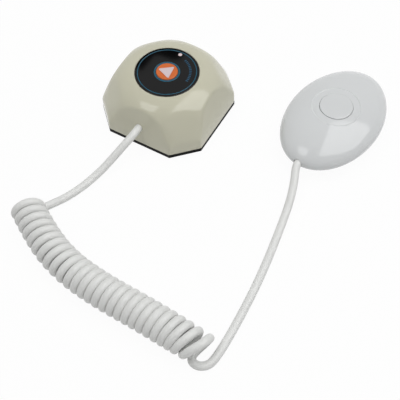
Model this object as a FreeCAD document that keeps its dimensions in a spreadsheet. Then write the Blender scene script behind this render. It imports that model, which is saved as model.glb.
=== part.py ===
# Nurse call button: an eight-sided base unit, a curly cord and an egg-shaped hand pendant.
# Millimetres. The origin is the centre of the base unit's underside, where it stands on the table.
# +Z is up, and the cord leaves the base unit through the long side that faces -Y.
import FreeCAD, Part
import math
import os
import Sketcher

from FreeCAD import Placement, Rotation, Vector

doc = FreeCAD.newDocument("nurse_call_button")
UP = Vector(0, 0, 1)
RIGHT = Vector(1, 0, 0)

# Driving sizes, each written once: alias, value, what it is. Lengths in mm, angles in degrees.
DRIVING_SIZES = [
    ("base_flats", 62.0, "base unit across its long sides"),
    ("base_corner_cut", 12.4, "how much of each corner the short sides cut off"),
    ("plate_height", 2.6, "bottom plate thickness"),
    ("plate_edge", 0.15, "bevel round the plate's underside"),
    ("dome_foot_radius", 39.05, "dome radius where it would meet the bottom plate"),
    ("dome_cone_angle", 26.64, "lean of the dome's lower wall"),
    ("dome_crown_radius", 15.66, "flat top radius, where the shoulder arc starts"),
    ("dome_top", 27.85, "height of the dome"),
    ("long_flat_bend", 9.05, "height up to which the four long flats stand upright"),
    ("long_flat_lean", 16.25, "lean of the four long flats above it"),
    ("short_flat_bend", 9.95, "height up to which the four short flats stand upright"),
    ("short_flat_lean", 31.15, "lean of the four short flats above it"),
    ("shell_wall", 1.8, "wall of the base shell"),
    ("disc_radius", 17.1, "black face disc"),
    ("disc_thickness", 2.0, "black face disc"),
    ("disc_gap", 0.1, "gap round the face disc"),
    ("seat_width", 1.4, "ledge that the face disc sits on"),
    ("seat_thickness", 1.65, "ledge that the face disc sits on"),
    ("seat_ring_width", 2.1, "thickened ring of the shell outside the face disc"),
    ("rim_ring_setback", 1.6, "middle of the blue ring from the face disc's edge"),
    ("rim_ring_width", 0.7, "blue ring near the rim"),
    ("rim_ring_depth", 0.8, "blue ring near the rim"),
    ("surround_radius", 7.1, "outside of the blue ring round the key"),
    ("surround_depth", 0.6, "recess for the blue ring round the key"),
    ("inlay_gap", 0.05, "gap round each inlaid piece"),
    ("key_radius", 5.75, "orange call key"),
    ("key_gap", 0.2, "gap round the call key"),
    ("key_proud", 0.4, "how far the key stands above the disc"),
    ("key_travel", 0.6, "call key stroke"),
    ("key_flange_width", 1.45, "flange that keeps the key in"),
    ("key_flange_height", 1.2, "flange that keeps the key in"),
    ("key_slack", 0.35, "key flange below the face disc at rest"),
    ("icon_width", 8.4, "pale inlay of the key at its wide edge"),
    ("icon_foot_width", 1.6, "pale inlay of the key at its narrow edge"),
    ("icon_margin", 1.3, "pale inlay to the key's edge"),
    ("icon_depth", 0.25, "pocket for the pale inlay"),
    ("icon_turn", 33.0, "the pale inlay's turn on the key"),
    ("lens_radius", 1.05, "status lens"),
    ("lens_setback", 0.3, "status lens from the blue ring near the rim"),
    ("lens_collar_radius", 1.5, "status lens below the disc"),
    ("board_thickness", 1.6, "circuit boards"),
    ("face_board_radius", 22.0, "round board under the face"),
    ("face_board_drop", 5.65, "face board's top below the disc's underside"),
    ("post_radius", 2.3, "posts that the face board hangs from"),
    ("post_edge", 2.7, "middle of the posts from the face board's edge"),
    ("switch_width", 6.2, "square switch bodies"),
    ("switch_height", 3.2, "switch body under the call key"),
    ("switch_floor", 0.7, "bottom of each switch body"),
    ("plunger_radius", 1.7, "switch plungers"),
    ("plunger_gap", 0.05, "running gap of the switch plungers"),
    ("plunger_rest", 0.1, "pressed plunger above the floor of its switch"),
    ("boss_offset", 18.0, "plate screw bosses from both middle planes"),
    ("boss_radius", 2.75, "plate screw bosses"),
    ("standoff_height", 2.6, "main board above the bottom plate"),
    ("standoff_radius", 2.5, "main board standoffs"),
    ("standoff_end", 3.0, "standoffs from the ends of the main board's side arms"),
    ("standoff_side", 5.0, "standoffs from the sides of the main board's side arms"),
    ("board_arm_length", 48.0, "main board across its side arms"),
    ("board_arm_width", 28.0, "width of the main board's arms"),
    ("board_back", 24.0, "main board's edge away from the cord"),
    ("board_lip", 0.5, "main board in front of the plug"),
    ("cell_radius", 12.25, "coin cell"),
    ("cell_height", 7.7, "coin cell"),
    ("cell_offset", 3.0, "coin cell's centre behind the axis"),
    ("cell_fit", 0.15, "gap round the cell in its holder"),
    ("holder_wall", 1.8, "cell holder's wall"),
    ("holder_floor", 0.8, "cell holder's floor"),
    ("holder_height", 6.5, "cell holder"),
    ("clip_thickness", 0.5, "contact clip over the cell"),
    ("clip_width", 6.0, "contact clip over the cell"),
    ("clip_gap", 0.9, "contact clip's legs from the holder"),
    ("led_length", 2.0, "light sources on the face board"),
    ("led_width", 1.2, "light sources on the face board"),
    ("led_height", 1.0, "light sources on the face board"),
    ("led_ring_radius", 11.0, "ring of light sources under the face disc"),
    ("link_length", 12.0, "header between the two boards"),
    ("link_width", 2.5, "header between the two boards"),
    ("link_gap", 1.05, "header from the cell holder"),
    ("radio_length", 8.0, "radio module"),
    ("radio_width", 6.0, "radio module"),
    ("radio_height", 2.0, "radio module"),
    ("radio_side", 9.5, "radio module's middle from the cell's middle, sideways"),
    ("radio_gap", 2.4, "radio module's middle in front of the cell holder"),
    ("sounder_radius", 4.2, "sounder"),
    ("sounder_height", 4.0, "sounder"),
    ("sounder_side", 9.8, "sounder's middle from the cell's middle, sideways"),
    ("sounder_gap", 2.0, "sounder's middle in front of the cell holder"),
    ("plate_screw_head_radius", 2.3, "heads of the plate's and the pendant's screws"),
    ("plate_screw_head_height", 1.2, "heads of the plate's and the pendant's screws"),
    ("plate_screw_radius", 1.2, "plate's and pendant's screws"),
    ("plate_screw_length", 8.0, "plate's screws under their heads"),
    ("small_screw_head_radius", 1.9, "heads of the screws inside the base unit"),
    ("small_screw_head_height", 1.2, "heads of the screws inside the base unit"),
    ("small_screw_radius", 0.9, "screws inside the base unit"),
    ("face_screw_length", 5.4, "face board's screws under their heads"),
    ("face_screw_hole", 4.2, "screw holes in the face board's posts"),
    ("board_screw_length", 3.8, "main board's screws under their heads"),
    ("clamp_screw_length", 6.8, "cord clamp's screws under their heads"),
    ("thread_gap", 0.05, "gap round a screw in the hole that it grips"),
    ("screw_clearance", 0.25, "gap round a screw in a hole that it passes"),
    ("head_recess", 1.3, "screw recesses in the bottom plate"),
    ("cord_diameter", 4.2, "cord"),
    ("cord_exit_height", 13.2, "middle of the cord hole in the base shell"),
    ("cord_hole_gap", 0.25, "gap round the cord in the shells' holes"),
    ("clamp_width", 14.0, "cord clamp in the base unit"),
    ("clamp_depth", 5.0, "cord clamp in the base unit"),
    ("clamp_bar_height", 2.8, "cord clamp's upper bar"),
    ("clamp_setback", 7.6, "cord clamp's middle from the long side's foot"),
    ("clamp_screw_offset", 5.0, "clamp screws from the cord"),
    ("plug_width", 8.0, "plug on the main board"),
    ("plug_depth", 4.5, "plug on the main board"),
    ("plug_gap", 1.4, "plug's front face from the cord clamp"),
    ("plug_height", 9.0, "plug on the main board"),
    ("curl_radius", 8.7, "outside of the curled cord"),
    ("pendant_x", 85.7, "pendant's centre"),
    ("pendant_y", 28.3, "pendant's centre"),
    ("pendant_turn", -6.7, "pendant's long axis from +Y"),
    ("pendant_half_width", 25.0, "egg's short half axis"),
    ("pendant_half_length", 36.2, "egg's long half axis"),
    ("pendant_half_height", 11.3, "egg's upright half axis"),
    ("pendant_middle", 9.3, "height of the egg's middle"),
    ("pendant_parting", 6.5, "height of the joint between the pendant's shells"),
    ("pendant_wall", 1.8, "wall of the pendant's shells"),
    ("button_radius", 8.7, "pendant button"),
    ("button_gap", 0.25, "gap round the pendant button"),
    ("button_land_radius", 12.75, "shallow round recess about the button"),
    ("button_land_depth", 0.3, "shallow round recess about the button"),
    ("button_flange_width", 1.5, "flange that keeps the button in"),
    ("button_flange_height", 0.9, "flange that keeps the button in"),
    ("button_flange_drop", 4.0, "underside of the button's flange below the egg's top"),
    ("button_skin", 1.6, "thickness of the button's top"),
    ("button_stem_radius", 2.5, "stem under the button"),
    ("button_travel", 0.8, "pendant button stroke"),
    ("pendant_board_side", 13.2, "pendant board's sides from the egg's sides"),
    ("pendant_board_nose", 18.4, "pendant board's edge from the egg's cord end"),
    ("pendant_board_tail", 15.4, "pendant board's edge from the egg's far end"),
    ("pendant_board_floor", 7.6, "underside of the pendant board"),
    ("pendant_switch_height", 3.6, "switch body under the button"),
    ("peg_side", 2.5, "pegs from the pendant board's sides"),
    ("peg_end", 4.0, "pegs from the pendant board's ends"),
    ("peg_post_radius", 1.8, "posts under the pegs"),
    ("peg_radius", 0.9, "pegs through the pendant board"),
    ("pendant_boss_radius", 2.6, "screw bosses in the pendant"),
    ("pendant_boss_tail", 10.9, "far screw boss from the egg's far end"),
    ("pendant_boss_side", 8.7, "two side screw bosses from the egg's sides"),
    ("pendant_boss_back", 8.0, "two side screw bosses towards the cord"),
    ("pendant_recess", 4.0, "roof of the screw recesses under the pendant"),
    ("pendant_screw_length", 7.0, "pendant's screws under their heads"),
    ("flare_radius", 3.7, "mouth of the cord hole in the pendant's nose"),
    ("flare_length", 4.0, "flare of the cord hole in the pendant's nose"),
    ("collar_width", 10.0, "collar moulded on the cord inside the pendant"),
    ("collar_setback", 5.4, "collar's outer face from the egg's cord end"),
    ("collar_length", 3.5, "collar along the cord"),
    ("cord_bend_setback", 2.4, "last bend of the cord from the egg's cord end"),
    ("cord_end_setback", 10.4, "end of the cord's jacket from the egg's cord end"),
    ("tail_wire_radius", 0.6, "wires from the cord to the pendant board"),
    ("tail_wire_spread", 0.8, "wires from the cord's middle plane"),
    ("tail_wire_lap", 2.0, "wires over the pendant board"),
]


class Size:
    """A size that knows its value and how to write itself as an expression on the sheet."""

    def __init__(self, value, text):
        self.value = value
        self.text = text

    def __add__(self, other):
        return combine(self, other, "+", self.value + number(other))

    def __radd__(self, other):
        return combine(other, self, "+", number(other) + self.value)

    def __sub__(self, other):
        return combine(self, other, "-", self.value - number(other))

    def __rsub__(self, other):
        return combine(other, self, "-", number(other) - self.value)

    def __mul__(self, other):
        return combine(self, other, "*", self.value * number(other))

    def __rmul__(self, other):
        return combine(other, self, "*", number(other) * self.value)

    def __truediv__(self, other):
        return combine(self, other, "/", self.value / number(other))

    def __rtruediv__(self, other):
        return combine(other, self, "/", number(other) / self.value)

    def __neg__(self):
        return combine(0, self, "-", -self.value)


def number(size):
    return size.value if isinstance(size, Size) else float(size)


def text(size):
    return size.text if isinstance(size, Size) else repr(float(size))


def combine(first, second, sign, value):
    return Size(value, "(" + text(first) + " " + sign + " " + text(second) + ")")


def sine(angle):
    return Size(math.sin(math.radians(angle.value)), "sin(" + angle.text + ")")


def cosine(angle):
    return Size(math.cos(math.radians(angle.value)), "cos(" + angle.text + ")")


def tangent(angle):
    return Size(math.tan(math.radians(angle.value)), "tan(" + angle.text + ")")


def write_sheet():
    sheet = doc.addObject("Spreadsheet::Sheet", "sizes")
    for row, (alias, value, meaning) in enumerate(DRIVING_SIZES, 1):
        sheet.set("A" + str(row), alias)
        sheet.set("B" + str(row), str(value))
        sheet.set("C" + str(row), meaning)
        sheet.setAlias("B" + str(row), alias)
    doc.recompute()
    return {alias: Size(float(sheet.get(alias)), "sizes." + alias) for alias, _, _ in DRIVING_SIZES}


S = write_sheet()
ANY_SIDE = (1, -1)


# Building blocks

def bind(item, **sizes):
    for name, size in sizes.items():
        item.setExpression(name, text(size))
    return item


def put(item, x=0, y=0, z=0):
    for axis, size in zip("xyz", (x, y, z)):
        item.setExpression("Placement.Base." + axis, text(size))
    return item


def block(name, length, width, height, x=0, y=0, z=0):
    """A block standing on height z, centred on x and y."""
    item = doc.addObject("Part::Box", name)
    bind(item, Length=length, Width=width, Height=height)
    return put(item, x - length / 2, y - width / 2, z)


def cylinder(name, radius, floor, roof, x=0, y=0):
    item = doc.addObject("Part::Cylinder", name)
    bind(item, Radius=radius, Height=roof - floor)
    return put(item, x, y, floor)


def lying_cylinder(name, radius, near, far, x=0, z=0):
    """A cylinder along +Y from near to far."""
    item = doc.addObject("Part::Cylinder", name)
    item.Placement = Placement(Vector(), Rotation(RIGHT, -90))
    bind(item, Radius=radius, Height=far - near)
    return put(item, x, near, z)


def cut(name, base, tools):
    item = doc.addObject("Part::Cut", name)
    item.Base = base
    item.Tool = tools[0] if len(tools) == 1 else fuse(name + "_tools", tools)
    return item


def fuse(name, items):
    item = doc.addObject("Part::MultiFuse", name)
    item.Shapes = items
    return item


def common(name, items):
    item = doc.addObject("Part::MultiCommon", name)
    item.Shapes = items
    return item


def group(name, items):
    item = doc.addObject("Part::Compound", name)
    item.Links = items
    return item


def pin(sketch, edge, end, kind, size):
    """Fixes one coordinate of a sketch point, on the axis itself where it is nil."""
    if not isinstance(size, Size) and size == 0:
        axis = -2 if kind == "DistanceX" else -1
        sketch.addConstraint(Sketcher.Constraint("PointOnObject", edge, end, axis))
        return
    index = sketch.addConstraint(Sketcher.Constraint(kind, -1, 1, edge, end, number(size)))
    label = "edge" + str(edge) + "_end" + str(end) + "_" + kind
    sketch.renameConstraint(index, label)
    sketch.setExpression("Constraints." + label, text(size))


def upright_sketch(body, name):
    sketch = body.newObject("Sketcher::SketchObject", name)
    plane = [item for item in body.Origin.OriginFeatures if item.Role == "XZ_Plane"][0]
    sketch.AttachmentSupport = (plane, [""])
    sketch.MapMode = "FlatFace"
    return sketch


def revolve(body, sketch, name):
    turn = body.newObject("PartDesign::Revolution", name)
    turn.Profile = sketch
    turn.ReferenceAxis = (sketch, ["V_Axis"])
    turn.Angle = 360.0
    return turn


def turned(name, corners, x=0, y=0):
    """A turned piece: its half section is a closed outline of (radius, height) corners."""
    body = doc.addObject("PartDesign::Body", name)
    sketch = upright_sketch(body, name + "_section")
    places = [Vector(number(radius), number(height), 0) for radius, height in corners]
    for index, place in enumerate(places):
        sketch.addGeometry(Part.LineSegment(place, places[(index + 1) % len(places)]), False)
    for index in range(len(places)):
        following = (index + 1) % len(places)
        sketch.addConstraint(Sketcher.Constraint("Coincident", index, 2, following, 1))
    for index, (radius, height) in enumerate(corners):
        pin(sketch, index, 1, "DistanceX", radius)
        pin(sketch, index, 1, "DistanceY", height)
    revolve(body, sketch, name + "_turn")
    return put(body, x, y)


def screw(name, x, y, seat, head_radius, head_height, shank_radius, shank_length, upward):
    """A pan head screw. Its head sits on height seat, below the seat if the screw points up."""
    if upward:
        head = cylinder(name + "_head", head_radius, seat - head_height, seat, x, y)
        shank = cylinder(name + "_shank", shank_radius, seat, seat + shank_length, x, y)
    else:
        head = cylinder(name + "_head", head_radius, seat, seat + head_height, x, y)
        shank = cylinder(name + "_shank", shank_radius, seat - shank_length, seat, x, y)
    return fuse(name, [head, shank])


NODES = []


def node(item, name):
    item.Label = name
    NODES.append((name, item))
    return item


# Heights and places that more than one piece shares

DISC_TOP = S["dome_top"] - 0.1
DISC_FLOOR = DISC_TOP - S["disc_thickness"]
SEAT_FLOOR = DISC_FLOOR - S["seat_thickness"]
SEAT_OPENING = S["disc_radius"] + S["disc_gap"] - S["seat_width"]
KEY_HOLE = S["key_radius"] + S["key_gap"]
KEY_TOP = DISC_TOP + S["key_proud"]
FLANGE_TOP = DISC_FLOOR - S["key_slack"]
FLANGE_FLOOR = FLANGE_TOP - S["key_flange_height"]
FACE_BOARD_TOP = DISC_FLOOR - S["face_board_drop"]
FACE_BOARD_FLOOR = FACE_BOARD_TOP - S["board_thickness"]
MAIN_BOARD_FLOOR = S["plate_height"] + S["standoff_height"]
MAIN_BOARD_TOP = MAIN_BOARD_FLOOR + S["board_thickness"]
RIM_RING_RADIUS = S["disc_radius"] - S["rim_ring_setback"]
LENS_OFFSET = RIM_RING_RADIUS - S["rim_ring_width"] / 2 - S["lens_setback"] - S["lens_radius"]
HOLDER_INSIDE = S["cell_radius"] + S["cell_fit"]
HOLDER_OUTSIDE = HOLDER_INSIDE + S["holder_wall"]
LONG_HALF = S["base_flats"] / 2
SHORT_HALF = (S["base_flats"] - S["base_corner_cut"]) / math.sqrt(2)
CORD_RADIUS = S["cord_diameter"] / 2
CORD_HOLE = CORD_RADIUS + S["cord_hole_gap"]
CORD_GRIP = CORD_RADIUS + S["inlay_gap"]
CLAMP_JOINT = S["cord_exit_height"]
CLAMP_TOP = CLAMP_JOINT + S["clamp_bar_height"]
CLAMP_OFFSET = LONG_HALF - S["clamp_setback"]
PLUG_FACE = CLAMP_OFFSET - S["clamp_depth"] / 2 - S["plug_gap"]
BOARD_FRONT = PLUG_FACE + S["board_lip"]
POST_ANGLES = (30, 150, 270)
BOSS_PLACES = [(S["boss_offset"] * i, S["boss_offset"] * j) for i in ANY_SIDE for j in ANY_SIDE]
STANDOFF_X = S["board_arm_length"] / 2 - S["standoff_end"]
STANDOFF_Y = S["board_arm_width"] / 2 - S["standoff_side"]
STANDOFF_PLACES = [(STANDOFF_X * i, STANDOFF_Y * j) for i in ANY_SIDE for j in ANY_SIDE]
POST_CIRCLE = S["face_board_radius"] - S["post_edge"]
POST_PLACES = [
    (POST_CIRCLE * math.cos(math.radians(angle)), POST_CIRCLE * math.sin(math.radians(angle)))
    for angle in POST_ANGLES
]

# Holes for the self-tapping screws: one that a screw grips, and one that it passes
PLATE_GRIP = S["plate_screw_radius"] + S["thread_gap"]
PLATE_PASS = S["plate_screw_radius"] + S["screw_clearance"]
PLATE_HEAD_PASS = S["plate_screw_head_radius"] + S["screw_clearance"]
SMALL_GRIP = S["small_screw_radius"] + S["thread_gap"]
SMALL_PASS = S["small_screw_radius"] + S["screw_clearance"]


def large_screw(name, x, y, seat, shank_length, upward):
    return screw(name, x, y, seat, S["plate_screw_head_radius"], S["plate_screw_head_height"],
                 S["plate_screw_radius"], shank_length, upward)


def small_screw(name, x, y, seat, shank_length, upward):
    return screw(name, x, y, seat, S["small_screw_head_radius"], S["small_screw_head_height"],
                 S["small_screw_radius"], shank_length, upward)


# The base shell's outer form: a dome cut by four long and four short flats, each with a bend

def square_tower(name, turn, floor, roof, low, high):
    """A square tower about the axis, half as wide as low at its floor and as high at its roof."""
    item = doc.addObject("Part::Wedge", name)
    item.Placement = Placement(Vector(), Rotation(UP, turn) * Rotation(RIGHT, 90))
    bind(item, Xmin=-low, Xmax=low, Zmin=-low, Zmax=low, Ymin=floor, Ymax=roof)
    return bind(item, X2min=-high, X2max=high, Z2min=-high, Z2max=high)


def dome(name, inset, floor):
    """The dome, shrunk by inset all over, from height floor up."""
    lean = S["dome_cone_angle"]
    crown = S["dome_crown_radius"]
    top = S["dome_top"] - inset
    foot = S["dome_foot_radius"] + (S["plate_height"] - floor) * tangent(lean) - inset / cosine(lean)
    reach = foot * cosine(lean) + floor * sine(lean)
    shoulder = (reach - crown * cosine(lean) - top * sine(lean)) / (1 - sine(lean))
    centre = top - shoulder
    bend = (crown + shoulder * cosine(lean), centre + shoulder * sine(lean))
    middle = math.radians((90 + lean.value) / 2)
    arc_middle = Vector(crown.value + shoulder.value * math.cos(middle),
                        centre.value + shoulder.value * math.sin(middle), 0)
    corners = [(0, floor), (foot, floor), bend, (crown, top), (0, top)]
    places = [Vector(number(radius), number(height), 0) for radius, height in corners]
    body = doc.addObject("PartDesign::Body", name)
    sketch = upright_sketch(body, name + "_section")
    sketch.addGeometry(Part.LineSegment(places[0], places[1]), False)
    sketch.addGeometry(Part.LineSegment(places[1], places[2]), False)
    sketch.addGeometry(Part.Arc(places[2], arc_middle, places[3]), False)
    sketch.addGeometry(Part.LineSegment(places[3], places[4]), False)
    sketch.addGeometry(Part.LineSegment(places[4], places[0]), False)
    # The arc runs anticlockwise, from the bend (its point 1) to the crown (its point 2)
    for first, second in ((0, 1), (1, 2), (2, 3), (3, 4), (4, 0)):
        sketch.addConstraint(Sketcher.Constraint("Coincident", first, 2, second, 1))
    for edge, (radius, height) in zip((0, 1, 2, 3, 4), corners):
        pin(sketch, edge, 1, "DistanceX", radius)
        pin(sketch, edge, 1, "DistanceY", height)
    pin(sketch, 2, 3, "DistanceX", crown)
    revolve(body, sketch, name + "_turn")
    return body


def four_flats(name, half_width, bend, lean, turn, inset, floor):
    """Four flats half_width from the axis, upright below height bend and leaning inwards above."""
    roof = S["dome_top"] + 1

    def half(height):
        return half_width - (height - bend) * tangent(lean) - inset / cosine(lean)
    upright = square_tower(name + "_upright", turn, floor, roof, half_width - inset, half_width - inset)
    return [upright, square_tower(name + "_leaning", turn, floor, roof, half(floor), half(roof))]


def shell_form(name, inset, floor):
    walls = [dome(name + "_dome", inset, floor)]
    walls += four_flats(name + "_long", LONG_HALF, S["long_flat_bend"], S["long_flat_lean"],
                        0, inset, floor)
    walls += four_flats(name + "_short", SHORT_HALF, S["short_flat_bend"], S["short_flat_lean"],
                        45, inset, floor)
    return common(name, walls)


def base_shell():
    plate_top = S["plate_height"]
    outside = shell_form("shell_outside", 0, plate_top)
    inside = shell_form("shell_inside", S["shell_wall"], plate_top - 1)
    skin = cut("shell_skin", outside, [inside])
    seat = cylinder("seat_ring", S["disc_radius"] + S["seat_ring_width"], SEAT_FLOOR, S["dome_top"])
    bosses = [
        cylinder("boss_" + str(i), S["boss_radius"], plate_top, S["dome_top"], x, y)
        for i, (x, y) in enumerate(BOSS_PLACES)
    ]
    posts = [
        cylinder("post_" + str(i), S["post_radius"], FACE_BOARD_TOP, S["dome_top"], x, y)
        for i, (x, y) in enumerate(POST_PLACES)
    ]
    solid_inside = shell_form("shell_solid", 0.5 * S["shell_wall"], plate_top)
    fittings = common("shell_fittings", [fuse("shell_ribs", [seat] + bosses + posts), solid_inside])
    holes = [
        cylinder("disc_pocket", S["disc_radius"] + S["disc_gap"], DISC_FLOOR, S["dome_top"] + 1),
        cylinder("seat_opening", SEAT_OPENING, SEAT_FLOOR - 1, S["dome_top"] + 1),
        lying_cylinder("cord_hole", CORD_HOLE, -LONG_HALF - 2, -LONG_HALF + 6, z=S["cord_exit_height"]),
    ]
    holes += [
        cylinder("boss_hole_" + str(i), PLATE_GRIP, plate_top - 1, plate_top + S["plate_screw_length"], x, y)
        for i, (x, y) in enumerate(BOSS_PLACES)
    ]
    holes += [
        cylinder("post_hole_" + str(i), SMALL_GRIP, FACE_BOARD_TOP - 1,
                 FACE_BOARD_TOP + S["face_screw_hole"], x, y)
        for i, (x, y) in enumerate(POST_PLACES)
    ]
    return node(cut("shell", fuse("shell_body", [skin, fittings]), holes), "base_shell")


# Bottom plate, with standoffs for the main board

def base_plate():
    square = block("plate_square", 2 * LONG_HALF, 2 * LONG_HALF, S["plate_height"])
    diamond = square_tower("plate_diamond", 45, 0, S["plate_height"], SHORT_HALF, SHORT_HALF)
    octagon = common("plate_octagon", [square, diamond])
    doc.recompute()
    bevelled = doc.addObject("Part::Chamfer", "plate_bevel")
    bevelled.Base = octagon
    bevel = number(S["plate_edge"])
    bevelled.Edges = [
        (index, bevel, bevel) for index, edge in enumerate(octagon.Shape.Edges, 1)
        if edge.BoundBox.ZMax < bevel
    ]
    standoffs = [
        cylinder("standoff_" + str(i), S["standoff_radius"], S["plate_height"] / 2, MAIN_BOARD_FLOOR, x, y)
        for i, (x, y) in enumerate(STANDOFF_PLACES)
    ]
    holes = []
    for i, (x, y) in enumerate(BOSS_PLACES):
        holes.append(cylinder("plate_hole_" + str(i), PLATE_PASS, -1, S["plate_height"] + 1, x, y))
        holes.append(cylinder("plate_recess_" + str(i), PLATE_HEAD_PASS, -1, S["head_recess"], x, y))
    for i, (x, y) in enumerate(STANDOFF_PLACES):
        holes.append(cylinder("standoff_hole_" + str(i), SMALL_GRIP, S["plate_height"],
                              MAIN_BOARD_FLOOR + 1, x, y))
    return node(cut("plate", fuse("plate_body", [bevelled] + standoffs), holes), "base_plate")


def plate_screws():
    screws = [
        large_screw("plate_screw_" + str(i), x, y, S["head_recess"], S["plate_screw_length"], True)
        for i, (x, y) in enumerate(BOSS_PLACES)
    ]
    return node(group("plate_screw_set", screws), "plate_screws")


# Face disc with its inlaid rings and the status lens

def face_disc():
    ring_inside = RIM_RING_RADIUS - S["rim_ring_width"] / 2
    ring_outside = RIM_RING_RADIUS + S["rim_ring_width"] / 2
    groove = DISC_TOP - S["rim_ring_depth"]
    recess = DISC_TOP - S["surround_depth"]
    edge = 0.2
    body = turned("disc_body", [
        (KEY_HOLE, DISC_FLOOR), (S["disc_radius"], DISC_FLOOR), (S["disc_radius"], DISC_TOP - edge),
        (S["disc_radius"] - edge, DISC_TOP), (ring_outside, DISC_TOP), (ring_outside, groove),
        (ring_inside, groove), (ring_inside, DISC_TOP), (S["surround_radius"], DISC_TOP),
        (S["surround_radius"], recess), (KEY_HOLE, recess),
    ])
    lens_hole = cylinder("lens_hole", S["lens_radius"] + S["inlay_gap"], DISC_FLOOR - 1, DISC_TOP + 1,
                         0, LENS_OFFSET)
    node(cut("disc", body, [lens_hole]), "face_disc")
    gap = S["inlay_gap"]
    node(turned("rim_ring", [
        (ring_inside + gap, groove), (ring_outside - gap, groove),
        (ring_outside - gap, DISC_TOP), (ring_inside + gap, DISC_TOP),
    ]), "rim_light_ring")
    node(turned("surround", [
        (KEY_HOLE, recess), (S["surround_radius"] - gap, recess),
        (S["surround_radius"] - gap, DISC_TOP + 0.05), (KEY_HOLE, DISC_TOP + 0.05),
    ]), "key_surround")


def status_lens():
    above_led = 1.2
    node(turned("lens", [
        (0, FACE_BOARD_TOP + above_led), (S["lens_collar_radius"], FACE_BOARD_TOP + above_led),
        (S["lens_collar_radius"], DISC_FLOOR), (S["lens_radius"], DISC_FLOOR),
        (S["lens_radius"], DISC_TOP + 0.1), (0, DISC_TOP + 0.1),
    ], 0, LENS_OFFSET), "status_lens")


# Call key: the orange key, its pale inlay and the plunger that it pushes

def inlay_form(name, grow, floor, roof):
    """A trapezium with a round top edge, pointed towards the caller."""
    radius = S["key_radius"] - S["icon_margin"] + grow
    wide, narrow = S["icon_width"] / 2 + grow, S["icon_foot_width"] / 2 + grow
    wedge = doc.addObject("Part::Wedge", name + "_wedge")
    bind(wedge, Xmin=-narrow, Xmax=narrow, X2min=-wide, X2max=wide)
    bind(wedge, Zmin=floor, Zmax=roof, Z2min=floor, Z2max=roof)
    bind(wedge, Ymin=-radius, Ymax=radius * 0.62)
    item = common(name, [wedge, cylinder(name + "_round", radius, floor, roof)])
    item.Placement = Placement(Vector(), Rotation(UP, number(S["icon_turn"])))
    bind(item, **{"Placement.Rotation.Angle": S["icon_turn"]})
    return item


def call_key():
    pocket_floor = KEY_TOP - S["icon_depth"]
    edge = 0.3
    flange = S["key_radius"] + S["key_flange_width"]
    body = turned("key_body", [
        (0, FLANGE_FLOOR), (flange, FLANGE_FLOOR), (flange, FLANGE_TOP), (S["key_radius"], FLANGE_TOP),
        (S["key_radius"], KEY_TOP - edge), (S["key_radius"] - edge, KEY_TOP), (0, KEY_TOP),
    ])
    pocket = inlay_form("key_pocket", S["inlay_gap"], pocket_floor, KEY_TOP + 1)
    node(cut("key", body, [pocket]), "call_key")
    node(inlay_form("key_inlay", 0, pocket_floor, KEY_TOP + 0.05), "key_icon")


def switch_housing(name, floor, height):
    """A square switch body that stands on a board at height floor, bored for its plunger."""
    body = block(name + "_block", S["switch_width"], S["switch_width"], height, z=floor)
    bore = cylinder(name + "_bore", S["plunger_radius"] + S["plunger_gap"],
                    floor + S["switch_floor"], floor + height + 1)
    return cut(name + "_housing", body, [bore])


def switch_plunger(name, board_top, travel, roof):
    """A round plunger with its bottom just clear of the switch's floor when pressed."""
    floor = board_top + S["switch_floor"] + travel + S["plunger_rest"]
    return turned(name, [
        (0, floor), (S["plunger_radius"], floor), (S["plunger_radius"], roof), (0, roof),
    ])


def call_switch():
    node(switch_housing("call_switch", FACE_BOARD_TOP, S["switch_height"]), "call_switch_body")
    node(switch_plunger("call_plunger", FACE_BOARD_TOP, S["key_travel"], FLANGE_FLOOR),
         "call_switch_plunger")


# Face board, hung from the shell's three posts

def face_board():
    disc = cylinder("face_board_disc", S["face_board_radius"], FACE_BOARD_FLOOR, FACE_BOARD_TOP)
    holes = [
        cylinder("face_board_hole_" + str(i), SMALL_PASS,
                 FACE_BOARD_FLOOR - 1, FACE_BOARD_TOP + 1, x, y)
        for i, (x, y) in enumerate(POST_PLACES)
    ]
    node(cut("face_board_blank", disc, holes), "face_board")
    screws = [
        small_screw("face_screw_" + str(i), x, y, FACE_BOARD_FLOOR, S["face_screw_length"], True)
        for i, (x, y) in enumerate(POST_PLACES)
    ]
    node(group("face_screw_set", screws), "face_board_screws")


def face_leds():
    length, width, height = S["led_length"], S["led_width"], S["led_height"]
    chips = [block("status_led", length, width, height, 0, LENS_OFFSET, FACE_BOARD_TOP)]
    for angle in range(0, 360, 60):
        x = S["led_ring_radius"] * math.cos(math.radians(angle))
        y = S["led_ring_radius"] * math.sin(math.radians(angle))
        chips.append(block("ring_led_" + str(angle), length, width, height, x, y, FACE_BOARD_TOP))
    node(group("led_set", chips), "face_leds")


# Main board on the bottom plate, with the cell, the radio, the sounder and the cord's plug

def main_board():
    side_arms = block("board_side_arms", S["board_arm_length"], S["board_arm_width"],
                      S["board_thickness"], z=MAIN_BOARD_FLOOR)
    length = S["board_back"] + BOARD_FRONT
    middle = (S["board_back"] - BOARD_FRONT) / 2
    long_arm = block("board_long_arm", S["board_arm_width"], length, S["board_thickness"],
                     0, middle, MAIN_BOARD_FLOOR)
    holes = [
        cylinder("board_hole_" + str(i), SMALL_PASS,
                 MAIN_BOARD_FLOOR - 1, MAIN_BOARD_TOP + 1, x, y)
        for i, (x, y) in enumerate(STANDOFF_PLACES)
    ]
    node(cut("board_blank", fuse("board_cross", [side_arms, long_arm]), holes), "main_board")
    screws = [
        small_screw("board_screw_" + str(i), x, y, MAIN_BOARD_TOP, S["board_screw_length"], False)
        for i, (x, y) in enumerate(STANDOFF_PLACES)
    ]
    node(group("board_screw_set", screws), "main_board_screws")


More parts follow.
